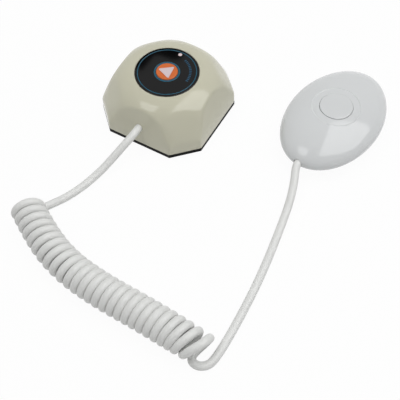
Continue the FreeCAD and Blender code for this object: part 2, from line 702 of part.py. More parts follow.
def board_link():
    offset = S["cell_offset"] + HOLDER_OUTSIDE + S["link_gap"] + S["link_width"] / 2
    node(block("link_header", S["link_length"], S["link_width"], FACE_BOARD_FLOOR - MAIN_BOARD_TOP,
               0, offset, MAIN_BOARD_TOP), "board_link")


def battery():
    floor = MAIN_BOARD_TOP + S["holder_floor"]
    roof = MAIN_BOARD_TOP + S["holder_height"]
    node(turned("holder", [
        (0, MAIN_BOARD_TOP), (HOLDER_OUTSIDE, MAIN_BOARD_TOP), (HOLDER_OUTSIDE, roof),
        (HOLDER_INSIDE, roof), (HOLDER_INSIDE, floor), (0, floor),
    ], 0, S["cell_offset"]), "battery_holder")
    cell_top = floor + S["cell_height"]
    edge = 0.5
    node(turned("cell", [
        (0, floor), (S["cell_radius"] - edge, floor), (S["cell_radius"], floor + edge),
        (S["cell_radius"], cell_top - edge), (S["cell_radius"] - edge, cell_top), (0, cell_top),
    ], 0, S["cell_offset"]), "battery_cell")
    strip = S["clip_thickness"]
    span = 2 * (HOLDER_OUTSIDE + S["clip_gap"])
    outer = block("clip_outer", span + 2 * strip, S["clip_width"], cell_top + strip - MAIN_BOARD_TOP,
                  0, S["cell_offset"], MAIN_BOARD_TOP)
    inner = block("clip_inner", span, S["clip_width"] + 1,
                  cell_top - MAIN_BOARD_TOP + 1, 0, S["cell_offset"], MAIN_BOARD_TOP - 1)
    node(cut("clip", outer, [inner]), "battery_clip")


def board_parts():
    holder_front = S["cell_offset"] - HOLDER_OUTSIDE
    node(block("radio_can", S["radio_length"], S["radio_width"], S["radio_height"], -S["radio_side"],
               holder_front - S["radio_gap"], MAIN_BOARD_TOP), "radio_module")
    node(cylinder("sounder_can", S["sounder_radius"], MAIN_BOARD_TOP, MAIN_BOARD_TOP + S["sounder_height"],
                  S["sounder_side"], holder_front - S["sounder_gap"]), "sounder")
    node(block("plug_block", S["plug_width"], S["plug_depth"], S["plug_height"], 0,
               S["plug_depth"] / 2 - PLUG_FACE, MAIN_BOARD_TOP), "cord_plug")


# Cord clamp: a grooved saddle on the plate, a grooved bar over the cord and two screws

def cord_clamp():
    near = -CLAMP_OFFSET - S["clamp_depth"] / 2 - 1
    far = -CLAMP_OFFSET + S["clamp_depth"] / 2 + 1
    places = [S["clamp_screw_offset"] * side for side in ANY_SIDE]
    hole_floor = CLAMP_TOP - S["clamp_screw_length"] - 0.5
    saddle = block("saddle_block", S["clamp_width"], S["clamp_depth"], CLAMP_JOINT - S["plate_height"],
                   0, -CLAMP_OFFSET, S["plate_height"])
    tools = [lying_cylinder("saddle_groove", CORD_GRIP, near, far, z=CLAMP_JOINT)]
    tools += [
        cylinder("saddle_hole_" + str(i), SMALL_GRIP, hole_floor, CLAMP_JOINT + 1, x, -CLAMP_OFFSET)
        for i, x in enumerate(places)
    ]
    node(cut("saddle", saddle, tools), "cord_clamp_base")
    bar = block("bar_block", S["clamp_width"], S["clamp_depth"], S["clamp_bar_height"],
                0, -CLAMP_OFFSET, CLAMP_JOINT)
    tools = [lying_cylinder("bar_groove", CORD_GRIP, near, far, z=CLAMP_JOINT)]
    tools += [
        cylinder("bar_hole_" + str(i), SMALL_PASS, CLAMP_JOINT - 1, CLAMP_TOP + 1, x, -CLAMP_OFFSET)
        for i, x in enumerate(places)
    ]
    node(cut("bar", bar, tools), "cord_clamp_bar")
    screws = [
        small_screw("clamp_screw_" + str(i), x, -CLAMP_OFFSET, CLAMP_TOP, S["clamp_screw_length"], False)
        for i, x in enumerate(places)
    ]
    node(group("clamp_screw_set", screws), "cord_clamp_screws")


# Pendant: an egg of two shells, built about its own centre and then put in place

PENDANT_TOP = S["pendant_middle"] + S["pendant_half_height"]
PENDANT_BOSSES = [(0, S["pendant_half_length"] - S["pendant_boss_tail"])]
PENDANT_BOSSES += [
    ((S["pendant_half_width"] - S["pendant_boss_side"]) * side, -S["pendant_boss_back"]) for side in ANY_SIDE
]
PENDANT_BOARD_HALF = S["pendant_half_width"] - S["pendant_board_side"]
PENDANT_BOARD_FRONT = S["pendant_half_length"] - S["pendant_board_nose"]
PENDANT_BOARD_BACK = S["pendant_half_length"] - S["pendant_board_tail"]
PEG_PLACES = [
    ((PENDANT_BOARD_HALF - S["peg_side"]) * side, end)
    for side in ANY_SIDE for end in (S["peg_end"] - PENDANT_BOARD_FRONT, PENDANT_BOARD_BACK - S["peg_end"])
]
COLLAR_FRONT = S["pendant_half_length"] - S["collar_setback"]
PENDANT_CORD_BEND = S["pendant_half_length"] - S["cord_bend_setback"]
PENDANT_CORD_END = S["pendant_half_length"] - S["cord_end_setback"]
PENDANT_BOARD_TOP = S["pendant_board_floor"] + S["board_thickness"]
PENDANT_SWITCH_TOP = PENDANT_BOARD_TOP + S["pendant_switch_height"]
STEM_FLOOR = PENDANT_SWITCH_TOP + S["button_travel"] + 0.3


def in_place(item, label):
    item.Placement = Placement(Vector(), Rotation(UP, number(S["pendant_turn"])))
    bind(item, **{"Placement.Rotation.Angle": S["pendant_turn"]})
    put(item, S["pendant_x"], S["pendant_y"])
    return node(item, label)


def egg(name, inset):
    """The pendant's form shrunk by inset, with its poles on the long axis, clear of the button."""
    item = doc.addObject("Part::Ellipsoid", name)
    item.Placement = Placement(Vector(), Rotation(RIGHT, -90))
    bind(item, Radius1=S["pendant_half_length"] - inset, Radius2=S["pendant_half_width"] - inset,
         Radius3=S["pendant_half_height"] - inset)
    return put(item, z=S["pendant_middle"])


def slab(name, floor, roof):
    return block(name, 4 * S["pendant_half_width"], 3 * S["pendant_half_length"], roof - floor, z=floor)


def cord_entry(name):
    """The hole in the pendant's nose, flared outwards where the cord bends."""
    nose = -S["pendant_half_length"]
    bore = lying_cylinder(name + "_bore", CORD_HOLE, nose - 1, nose + 8, z=S["pendant_middle"])
    flare = doc.addObject("Part::Cone", name + "_flare")
    flare.Placement = Placement(Vector(), Rotation(RIGHT, -90))
    bind(flare, Radius1=S["flare_radius"], Radius2=CORD_HOLE, Height=S["flare_length"])
    put(flare, 0, nose - 0.6, S["pendant_middle"])
    return [bore, flare]


def pendant_top_shell():
    roof = PENDANT_TOP + 1
    shape = cut("top_skin", common("top_half", [egg("top_egg", 0),
                slab("top_slab", S["pendant_parting"], roof)]), [egg("top_cavity", S["pendant_wall"])])
    bosses = [
        cylinder("top_boss_" + str(i), S["pendant_boss_radius"], S["pendant_parting"], roof, x, y)
        for i, (x, y) in enumerate(PENDANT_BOSSES)
    ]
    bosses = common("top_bosses", [fuse("top_boss_set", bosses), egg("top_trim", 0.5 * S["pendant_wall"])])
    land = cut("button_land", cylinder("land_round", S["button_land_radius"], S["pendant_middle"], roof),
               [egg("land_egg", S["button_land_depth"])])
    bore = cylinder("button_bore", S["button_radius"] + S["button_gap"], S["pendant_middle"], roof)
    hole_roof = S["pendant_recess"] + S["pendant_screw_length"] + 0.5
    holes = [
        cylinder("top_boss_hole_" + str(i), PLATE_GRIP, S["pendant_parting"] - 1, hole_roof, x, y)
        for i, (x, y) in enumerate(PENDANT_BOSSES)
    ]
    holes += [land, bore] + cord_entry("top_entry")
    in_place(cut("top_shell", fuse("top_body", [shape, bosses]), holes), "pendant_top_shell")


def pendant_bottom_shell():
    cavity = common("bottom_cavity", [egg("bottom_cavity_egg", S["pendant_wall"]),
                                      slab("bottom_cavity_slab", S["pendant_wall"], PENDANT_TOP)])
    shape = cut("bottom_skin", common("bottom_half", [egg("bottom_egg", 0),
                slab("bottom_slab", 0, S["pendant_parting"])]), [cavity])
    bosses = [
        cylinder("bottom_boss_" + str(i), S["pendant_boss_radius"] + 0.6, 0, S["pendant_parting"], x, y)
        for i, (x, y) in enumerate(PENDANT_BOSSES)
    ]
    pegs = []
    for i, (x, y) in enumerate(PEG_PLACES):
        pegs.append(cylinder("peg_post_" + str(i), S["peg_post_radius"], 1, S["pendant_board_floor"], x, y))
        pegs.append(cylinder("peg_" + str(i), S["peg_radius"], 1, PENDANT_BOARD_TOP + 0.7, x, y))
    fittings = common("bottom_fittings", [fuse("bottom_fitting_set", bosses + pegs),
                                          egg("bottom_trim", 0.5 * S["pendant_wall"])])
    holes = cord_entry("bottom_entry")
    for i, (x, y) in enumerate(PENDANT_BOSSES):
        holes.append(cylinder("bottom_recess_" + str(i), PLATE_HEAD_PASS, -1, S["pendant_recess"], x, y))
        holes.append(cylinder("bottom_hole_" + str(i), PLATE_PASS, 0, S["pendant_parting"] + 1, x, y))
    in_place(cut("bottom_shell", fuse("bottom_body", [shape, fittings]), holes), "pendant_bottom_shell")


def pendant_screws():
    screws = [
        large_screw("pendant_screw_" + str(i), x, y, S["pendant_recess"], S["pendant_screw_length"], True)
        for i, (x, y) in enumerate(PENDANT_BOSSES)
    ]
    in_place(group("pendant_screw_set", screws), "pendant_screws")


def pendant_button():
    """A round cap that follows the egg, with a flange inside the shell and a stem on the plunger."""
    roof = PENDANT_TOP + 1
    floor = PENDANT_TOP - S["button_flange_drop"]
    hollow_roof = PENDANT_TOP - S["button_skin"]
    cap = common("button_cap", [cylinder("button_round", S["button_radius"], floor, roof),
                                egg("button_egg", 0)])
    flange = cylinder("button_flange", S["button_radius"] + S["button_flange_width"], floor,
                      floor + S["button_flange_height"])
    hollow = cylinder("button_hollow", S["button_radius"] - S["button_skin"], floor - 1, hollow_roof)
    stem = cylinder("button_stem", S["button_stem_radius"], STEM_FLOOR, hollow_roof + 0.5)
    cup = cut("button_cup", fuse("button_solid", [cap, flange]), [hollow])
    in_place(fuse("button_body", [cup, stem]), "pendant_button")


def pendant_board():
    length = PENDANT_BOARD_FRONT + PENDANT_BOARD_BACK
    middle = (PENDANT_BOARD_BACK - PENDANT_BOARD_FRONT) / 2
    blank = block("pendant_blank", 2 * PENDANT_BOARD_HALF, length, S["board_thickness"], 0, middle,
                  S["pendant_board_floor"])
    holes = [
        cylinder("pendant_board_hole_" + str(i), S["peg_radius"] + S["thread_gap"],
                 S["pendant_board_floor"] - 1, PENDANT_BOARD_TOP + 1, x, y)
        for i, (x, y) in enumerate(PEG_PLACES)
    ]
    in_place(cut("pendant_board_blank", blank, holes), "pendant_board")


def pendant_switch():
    housing = switch_housing("pendant_switch", PENDANT_BOARD_TOP, S["pendant_switch_height"])
    in_place(housing, "pendant_switch_body")
    plunger = switch_plunger("pendant_plunger", PENDANT_BOARD_TOP, S["button_travel"], STEM_FLOOR)
    in_place(plunger, "pendant_switch_plunger")


def pendant_cord_collar():
    """A collar moulded on the cord, trapped between the two shells, and the cord's two wires."""
    middle = S["collar_length"] / 2 - COLLAR_FRONT
    blank = block("collar_block", S["collar_width"], S["collar_length"], 4 * S["pendant_half_height"],
                  0, middle, -S["pendant_half_height"])
    trimmed = common("collar_trimmed", [blank, egg("collar_egg", S["pendant_wall"] + S["inlay_gap"])])
    bore = lying_cylinder("collar_bore", CORD_GRIP, -COLLAR_FRONT - 1,
                          -COLLAR_FRONT + S["collar_length"] + 1, z=S["pendant_middle"])
    in_place(cut("collar", trimmed, [bore]), "pendant_cord_clamp")
    lift = PENDANT_BOARD_TOP + S["tail_wire_radius"] + 0.02
    wires = [
        lying_cylinder("tail_wire_" + str(i), S["tail_wire_radius"], -PENDANT_CORD_END,
                       S["tail_wire_lap"] - PENDANT_BOARD_FRONT, x=S["tail_wire_spread"] * side, z=lift)
        for i, side in enumerate(ANY_SIDE)
    ]
    in_place(group("tail_wire_set", wires), "pendant_tail_wires")


# Cord. Its points are chosen by hand, in the order in which the cord runs from the base unit.

FLOOR_LINE = 2.15
BASE_LEAD = [
    (0.0, -19.5, 13.2), (0.0, -32.4, 13.2), (-2.3, -43.0, 9.7), (-6.4, -55.0, 4.1),
    (-9.4, -67.0, FLOOR_LINE), (-13.2, -78.4, FLOOR_LINE), (-19.0, -88.3, FLOOR_LINE),
    (-25.2, -96.3, FLOOR_LINE),
]
CURL = [
    (-26.9, -95.3, 8.75), (-9.0, -107.0, 8.75), (11.5, -115.2, 8.75), (34.0, -118.2, 8.75),
    (60.2, -118.7, 8.75), (86.0, -120.6, 8.75),
]
PENDANT_LEAD = [
    (85.4, -126.4, FLOOR_LINE), (92.8, -127.0, FLOOR_LINE), (96.3, -119.0, FLOOR_LINE),
    (95.9, -107.0, FLOOR_LINE), (95.3, -92.5, FLOOR_LINE), (94.3, -76.5, FLOOR_LINE),
    (92.5, -60.5, FLOOR_LINE), (90.3, -45.5, FLOOR_LINE), (88.5, -33.5, 3.3),
    (86.9, -24.5, 5.8), (84.7, -15.5, 8.3),
]
# How much of the shorter run each bend takes
BEND_SHARE = 0.45


def route_path(name, points):
    """Straight runs joined by tangent arcs, each as large as its two runs allow."""
    edges = []
    start = points[0]
    for before, corner, after in zip(points, points[1:], points[2:]):
        incoming = (corner - before).normalize()
        outgoing = (after - corner).normalize()
        half_turn = incoming.getAngle(outgoing) / 2
        tail = BEND_SHARE * min((corner - before).Length, (after - corner).Length)
        radius = tail / math.tan(half_turn)
        inward = (outgoing - incoming).normalize()
        centre = corner + inward * (radius / math.cos(half_turn))
        first = corner - incoming * tail
        last = corner + outgoing * tail
        edges.append(Part.LineSegment(start, first).toShape())
        edges.append(Part.Arc(first, centre - inward * radius, last).toShape())
        print(name, "bend radius", round(radius, 1), "turn", round(math.degrees(2 * half_turn), 1))
        start = last
    edges.append(Part.LineSegment(start, points[-1]).toShape())
    return Part.Wire(edges)


def tube(name, radius, points):
    path = route_path(name, points)
    heading = (points[1] - points[0]).normalize()
    section = Part.Wire([Part.Circle(points[0], heading, radius).toShape()])
    solid = path.makePipeShell([section], True, False)
    expected = math.pi * radius ** 2 * path.Length
    print(name, "length", round(path.Length, 1), "volume / section x length",
          round(solid.Volume / expected, 5))
    if abs(solid.Volume / expected - 1) > 0.01:
        raise RuntimeError(name + " is not section times length")
    return solid


def cord_node(name, shape):
    item = doc.addObject("Part::Feature", name)
    item.Shape = shape
    return node(item, name)


def cord():
    radius = number(CORD_RADIUS)
    turn = Rotation(UP, number(S["pendant_turn"]))
    centre = Vector(number(S["pendant_x"]), number(S["pendant_y"]), number(S["pendant_middle"]))
    inside = [
        centre + turn.multVec(Vector(0, -number(along), 0)) for along in (PENDANT_CORD_BEND, PENDANT_CORD_END)
    ]
    curl = tube("cord_curl", number(S["curl_radius"]), [Vector(*point) for point in CURL])
    base_lead = tube("cord_base_lead", radius, [Vector(*point) for point in BASE_LEAD])
    pendant_lead = tube("cord_pendant_lead", radius, [Vector(*point) for point in PENDANT_LEAD] + inside)
    cord_node("cord_curl", curl)
    # The lead dives under the curl's side, so only its stretch outside the curl is kept
    outside_curl = max(base_lead.cut(curl).Solids, key=lambda solid: solid.Volume)
    cord_node("cord_base_lead", outside_curl)
    cord_node("cord_pendant_lead", pendant_lead.cut(curl))


base_shell()
base_plate()
plate_screws()
face_disc()
status_lens()
call_key()
call_switch()
face_board()
face_leds()
main_board()
board_link()
battery()
board_parts()
cord_clamp()
pendant_top_shell()
pendant_bottom_shell()
pendant_screws()
pendant_button()
pendant_board()
pendant_switch()
pendant_cord_collar()
cord()
doc.recompute()

for item in doc.Objects:
    if "Invalid" in item.State or "Error" in item.State:
        raise RuntimeError("failed object: " + item.Name + " " + str(item.State))
for name, item in NODES:
    shape = item.Shape
    if shape.isNull() or not shape.isValid() or not shape.Solids:
        raise RuntimeError("bad shape: " + name)
os.makedirs("parts", exist_ok=True)
for name, item in NODES:
    item.Shape.exportStep("parts/" + name + ".step")
    print(name, "solids", len(item.Shape.Solids), "volume", round(item.Shape.Volume, 1))
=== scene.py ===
# Nurse call button on a white table: an eight-sided base unit, a curly cord and a hand pendant.
# Sizes in the sections are in millimetres and become metres where a mesh is made.
import math

import bpy
import numpy as np
from mathutils import Matrix, Vector


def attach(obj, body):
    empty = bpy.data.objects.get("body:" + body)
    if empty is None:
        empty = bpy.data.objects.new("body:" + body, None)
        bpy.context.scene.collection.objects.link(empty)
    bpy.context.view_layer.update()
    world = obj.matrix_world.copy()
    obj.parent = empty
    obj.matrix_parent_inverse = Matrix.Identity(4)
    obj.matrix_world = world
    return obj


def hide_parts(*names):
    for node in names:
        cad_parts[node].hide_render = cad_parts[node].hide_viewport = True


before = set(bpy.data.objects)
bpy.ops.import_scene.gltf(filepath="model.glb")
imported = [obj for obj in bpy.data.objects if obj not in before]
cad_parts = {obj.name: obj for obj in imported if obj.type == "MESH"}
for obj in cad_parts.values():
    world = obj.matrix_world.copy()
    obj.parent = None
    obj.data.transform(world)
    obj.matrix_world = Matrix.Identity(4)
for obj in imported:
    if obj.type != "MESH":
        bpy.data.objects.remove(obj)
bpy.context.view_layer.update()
MM = 0.001


# Camera
# The photograph was taken from above and to the right of the base unit's front, with a long lens.
# Its place comes from the base unit's eight sides, which are known to be regular.

CAMERA_PLACE = Vector((169.9, -258.1, 368.3)) * MM
CAMERA_AIM = Vector((45.9, -46.1, 0.0)) * MM
CAMERA_ROLL = math.radians(-0.8745)
CAMERA_LENS = 77.75


def placed(name, data):
    """A new object with this data, in the scene."""
    item = bpy.data.objects.new(name, data)
    bpy.context.scene.collection.objects.link(item)
    return item


camera_data = bpy.data.cameras.new("photo_camera")
camera_data.lens = CAMERA_LENS
camera_data.sensor_width = 36.0
camera_data.clip_start = 0.01
camera = placed("photo_camera", camera_data)
view = (CAMERA_AIM - CAMERA_PLACE).normalized()
level = view.cross(Vector((0, 0, 1))).normalized()
upright = level.cross(view)
turned_right = math.cos(CAMERA_ROLL) * level + math.sin(CAMERA_ROLL) * upright
turned_up = math.cos(CAMERA_ROLL) * upright - math.sin(CAMERA_ROLL) * level
camera.matrix_world = Matrix.Translation(CAMERA_PLACE) @ Matrix(
    (turned_right, turned_up, -view)).transposed().to_4x4()
bpy.context.scene.camera = camera
bpy.context.scene.view_settings.view_transform = "Standard"


# Table, room and lamps
# A white table top in a pale room. A soft light from overhead fills, a wide window to the right is
# the bright patch on the dome's shoulder and on the pendant, and a dark card shows in the face disc.

FLOOR_HALF = 3.0
FLOOR_DROP = 0.05
FLOOR_WHITE = 0.82
FLOOR_GLOW = 0.95
ROOM_LIGHT = 0.43
# Each light hangs level and shines down. Its turn is about the upright axis.
OVERHEAD = {"place": (-0.28, 0.33, 1.6), "turn": 0.0, "size": (1.6, 1.4), "power": 10.2, "sheen": False}
# The window sheds little light. Just below it hangs what a gloss mirrors of it, which is brighter.
WINDOW = {"place": (0.956, 0.355, 1.02), "turn": 22.0, "size": (1.7, 1.0), "power": 7.0, "sheen": False}
WINDOW_SHEEN = {"place": (0.956, 0.355, 1.0), "turn": 22.0, "size": (1.7, 1.0), "power": 13.0, "light": False}
FRONT_BOX = {"place": (-0.30, -0.48, 1.0), "turn": 0.0, "size": (0.45, 0.50), "power": 1.7}
# The dark card's corners, one metre up, where the face disc mirrors them towards the camera
DARK_CARD = [(-0.580, 0.715), (-0.531, 0.715), (-0.531, 0.762), (-0.521, 0.768), (-0.491, 0.770),
             (-0.478, 0.780), (-0.481, 0.830), (-0.580, 0.830)]


def shader_node(tree, kind, place, **settings):
    """Adds one node. Settings that name an input go to that input, the others to the node."""
    item = tree.nodes.new(kind)
    item.location = place
    for name, value in settings.items():
        if name in item.inputs:
            item.inputs[name].default_value = value
        else:
            setattr(item, name, value)
    return item


def principled(name):
    """A new material, its node tree and its shader."""
    material = bpy.data.materials.new(name)
    material.use_nodes = True
    return material, material.node_tree, material.node_tree.nodes["Principled BSDF"]


def soft_box(name, place, turn, size, power, light=True, sheen=True):
    lamp = bpy.data.lights.new(name, "AREA")
    lamp.shape = "RECTANGLE"
    lamp.size, lamp.size_y = size
    lamp.energy = power
    box = placed(name, lamp)
    box.location = place
    box.rotation_euler = (0, 0, math.radians(turn))
    box.visible_diffuse = light
    box.visible_glossy = sheen


floor_mesh = bpy.data.meshes.new("table_top")
corners = [(-1, -1), (1, -1), (1, 1), (-1, 1)]
corners = [(FLOOR_HALF * i, FLOOR_HALF * j, -FLOOR_DROP * MM) for i, j in corners]
floor_mesh.from_pydata(corners, [], [(0, 1, 2, 3)])
floor = placed("table_top", floor_mesh)
floor_paint = bpy.data.materials.new("white_table")
floor_paint.use_nodes = True
tree = floor_paint.node_tree
tree.nodes.clear()
link = tree.links.new
rays = shader_node(tree, "ShaderNodeLightPath", (-900, 200))
seen = shader_node(tree, "ShaderNodeMath", (-700, 200), operation="MAXIMUM")
seen_all = shader_node(tree, "ShaderNodeMath", (-500, 200), operation="MAXIMUM")
share = shader_node(tree, "ShaderNodeMath", (-300, 200), operation="MULTIPLY")
share.inputs[1].default_value = FLOOR_GLOW
matt = shader_node(tree, "ShaderNodeBsdfDiffuse", (-300, 0), Color=(FLOOR_WHITE,) * 3 + (1,))
glow = shader_node(tree, "ShaderNodeEmission", (-300, -150), Strength=1.0)
mixed = shader_node(tree, "ShaderNodeMixShader", (-100, 100))
out = shader_node(tree, "ShaderNodeOutputMaterial", (100, 100))
link(rays.outputs["Is Camera Ray"], seen.inputs[0])
link(rays.outputs["Is Glossy Ray"], seen.inputs[1])
link(seen.outputs[0], seen_all.inputs[0])
link(rays.outputs["Is Transmission Ray"], seen_all.inputs[1])
link(seen_all.outputs[0], share.inputs[0])
link(share.outputs[0], mixed.inputs[0])
link(matt.outputs[0], mixed.inputs[1])
link(glow.outputs[0], mixed.inputs[2])
link(mixed.outputs[0], out.inputs["Surface"])
floor_mesh.materials.append(floor_paint)

room = bpy.data.worlds.new("pale_room")
bpy.context.scene.world = room
room.use_nodes = True
tree = room.node_tree
tree.nodes.clear()
link = tree.links.new
# Rays that light the unit find an even room. The camera finds white, and so does a gloss that looks
# along the table, while a gloss that looks up finds the darker ceiling.
rays = shader_node(tree, "ShaderNodeLightPath", (-900, 300))
toward = shader_node(tree, "ShaderNodeTexCoord", (-900, 0))
height = shader_node(tree, "ShaderNodeSeparateXYZ", (-700, 0))
ceiling = shader_node(tree, "ShaderNodeMapRange", (-500, 0), **{
    "From Min": 0.05, "From Max": 0.8, "To Min": 1.0, "To Max": 0.42})
gloss = shader_node(tree, "ShaderNodeMix", (-300, 100), data_type="FLOAT")
gloss.inputs["A"].default_value = ROOM_LIGHT
clear = shader_node(tree, "ShaderNodeMath", (-500, 300), operation="MAXIMUM")
white = shader_node(tree, "ShaderNodeMix", (-100, 200), data_type="FLOAT")
white.inputs["B"].default_value = 1.0
sky = shader_node(tree, "ShaderNodeBackground", (100, 100))
out = shader_node(tree, "ShaderNodeOutputWorld", (300, 100))
link(toward.outputs["Generated"], height.inputs[0])
link(height.outputs["Z"], ceiling.inputs["Value"])
link(ceiling.outputs["Result"], gloss.inputs["B"])
link(rays.outputs["Is Glossy Ray"], gloss.inputs["Factor"])
link(rays.outputs["Is Camera Ray"], clear.inputs[0])
link(rays.outputs["Is Transmission Ray"], clear.inputs[1])
link(clear.outputs[0], white.inputs["Factor"])
link(gloss.outputs["Result"], white.inputs["A"])
link(white.outputs["Result"], sky.inputs["Strength"])
link(sky.outputs[0], out.inputs["Surface"])

soft_box("overhead_box", **OVERHEAD)
soft_box("window", **WINDOW)
soft_box("window_sheen", **WINDOW_SHEEN)
soft_box("front_box", **FRONT_BOX)

card_mesh = bpy.data.meshes.new("dark_card")
card_mesh.from_pydata([(x, y, 1.0) for x, y in DARK_CARD], [], [tuple(range(len(DARK_CARD)))])
card = placed("dark_card", card_mesh)
card_paint, tree, shader = principled("dark_card")
shader.inputs["Base Color"].default_value = (0.002, 0.002, 0.002, 1)
shader.inputs["Specular IOR Level"].default_value = 0.0
card_mesh.materials.append(card_paint)
# Only glossy rays find the card, so it takes no light from the unit
card.visible_camera = card.visible_diffuse = card.visible_transmission = card.visible_shadow = False


# Curly cord
# One white PVC cord, moulded into a left-handed curl in its middle. It leaves the base unit
# straight through the long side, lies on the table, and is gripped by a collar inside the pendant.

CORD_DIAMETER = 4.2
CURL_TURN_RADIUS = 6.6
CURL_POINTS_PER_TURN = 16
# How far along its axis the curl is at some of its turns: a little open, then closed up, then open
CURL_STEPS = [(0, 3.0), (10, 49.5), (24, 106.9), (25, 110.9), (26, 115.6), (26.5, 119.2), (27, 120.2)]
# The last turns tip over towards this heading, the more the nearer to the end, as the lead pulls them
CURL_TIP = ((0.899, -0.298, -0.320), 22.0, 26.5)
TABLE_LINE = 2.15
BASE_LEAD = [
    (0.0, -19.5, 13.2), (0.0, -28.7, 13.2), (-0.2, -34.2, 12.9), (-1.5, -39.6, 11.2), (-3.4, -46.0, 8.3),
    (-5.5, -52.8, 5.1), (-7.6, -60.0, 2.9), (-10.0, -69.0, TABLE_LINE), (-13.5, -78.9, TABLE_LINE),
    (-18.4, -87.2, TABLE_LINE), (-22.9, -94.5, TABLE_LINE),
]
CURL_AXIS = [
    (-26.9, -95.3, 8.75), (-9.0, -107.0, 8.75), (11.5, -115.2, 8.75), (34.0, -118.2, 8.75),
    (60.2, -118.7, 8.75), (91.0, -121.0, 8.8),
]
PENDANT_LEAD = [
    (85.4, -123.4, 2.2), (87.4, -126.2, TABLE_LINE), (91.4, -126.0, TABLE_LINE), (94.6, -123.1, TABLE_LINE),
    (95.5, -118.0, TABLE_LINE), (95.8, -108.0, TABLE_LINE), (95.3, -92.5, TABLE_LINE),
    (94.3, -76.5, TABLE_LINE), (92.5, -60.5, TABLE_LINE), (90.3, -45.5, TABLE_LINE), (88.5, -33.5, 3.3),
    (86.9, -24.5, 5.8), (84.2, -15.8, 8.3), (81.3, -8.8, 9.3), (81.9, -3.0, 9.3), (82.6, 2.68, 9.3),
]
CORD_EXIT = (0.0, -29.8, 13.2)
CORD_COLOUR = (0.75, 0.755, 0.74)


def spline_through(name, points):
    """One open NURBS spline of order 3 with the given control points, in metres."""
    curve = bpy.data.curves.new(name, "CURVE")
    curve.dimensions = "3D"
    spline = curve.splines.new("NURBS")
    spline.points.add(len(points) - 1)
    for item, point in zip(spline.points, points):
        item.co = (*point, 1.0)
    spline.order_u = 3
    spline.use_endpoint_u = True
    return curve


def points_along(name, points):
    """The points that the spline itself passes, read from its own mesh."""
    curve = spline_through(name, points)
    curve.resolution_u = 24
    item = bpy.data.objects.new(name, curve)
    mesh = bpy.data.meshes.new_from_object(item)
    places = np.array([vertex.co for vertex in mesh.vertices])
    bpy.data.objects.remove(item)
    bpy.data.meshes.remove(mesh)
    return places


def curl_points(axis):
    """A left-handed helix about the axis: the place at turn t is the axis point at t's distance, plus
    the turn radius times (sin(2 pi t) towards the near side, minus cos(2 pi t) upwards). Near and up
    are square to the axis, or to the tipped heading in the last turns."""
    steps = np.diff(axis, axis=0)
    distance = np.concatenate([[0], np.cumsum(np.linalg.norm(steps, axis=1))])
    turns = np.arange(CURL_STEPS[-1][0] * CURL_POINTS_PER_TURN + 1) / CURL_POINTS_PER_TURN
    along = np.interp(turns, *zip(*CURL_STEPS)) * MM
    middle = np.stack([np.interp(along, distance, axis[:, i]) for i in range(3)], -1)
    ahead = np.gradient(middle, axis=0)
    ahead /= np.linalg.norm(ahead, axis=1, keepdims=True)
    tipped, first, last = CURL_TIP
    share = np.clip((turns - first) / (last - first), 0, 1)[:, None] ** 1.5
    ahead = (1 - share) * ahead + share * np.array(tipped)
    near = np.cross(ahead, (0, 0, 1))
    near /= np.linalg.norm(near, axis=1, keepdims=True)
    up = np.cross(near, ahead / np.linalg.norm(ahead, axis=1, keepdims=True))
    # A spline of order 3 passes inside its control points by this share
    radius = CURL_TURN_RADIUS * MM / math.cos(math.pi / CURL_POINTS_PER_TURN)
    angle = 2 * math.pi * turns[:, None]
    return middle + radius * (np.sin(angle) * near - np.cos(angle) * up)


def metres(points):
    return [tuple(value * MM for value in point) for point in points]


curl = curl_points(points_along("curl_axis", metres(CURL_AXIS)))
cord_curve = spline_through("curly_cord", metres(BASE_LEAD) + [tuple(p) for p in curl] + metres(PENDANT_LEAD))
cord_curve.bevel_depth = CORD_DIAMETER / 2 * MM
cord_curve.bevel_resolution = 7
cord_curve.resolution_u = 4
cord_curve.use_fill_caps = True
cord = placed("curly_cord", cord_curve)


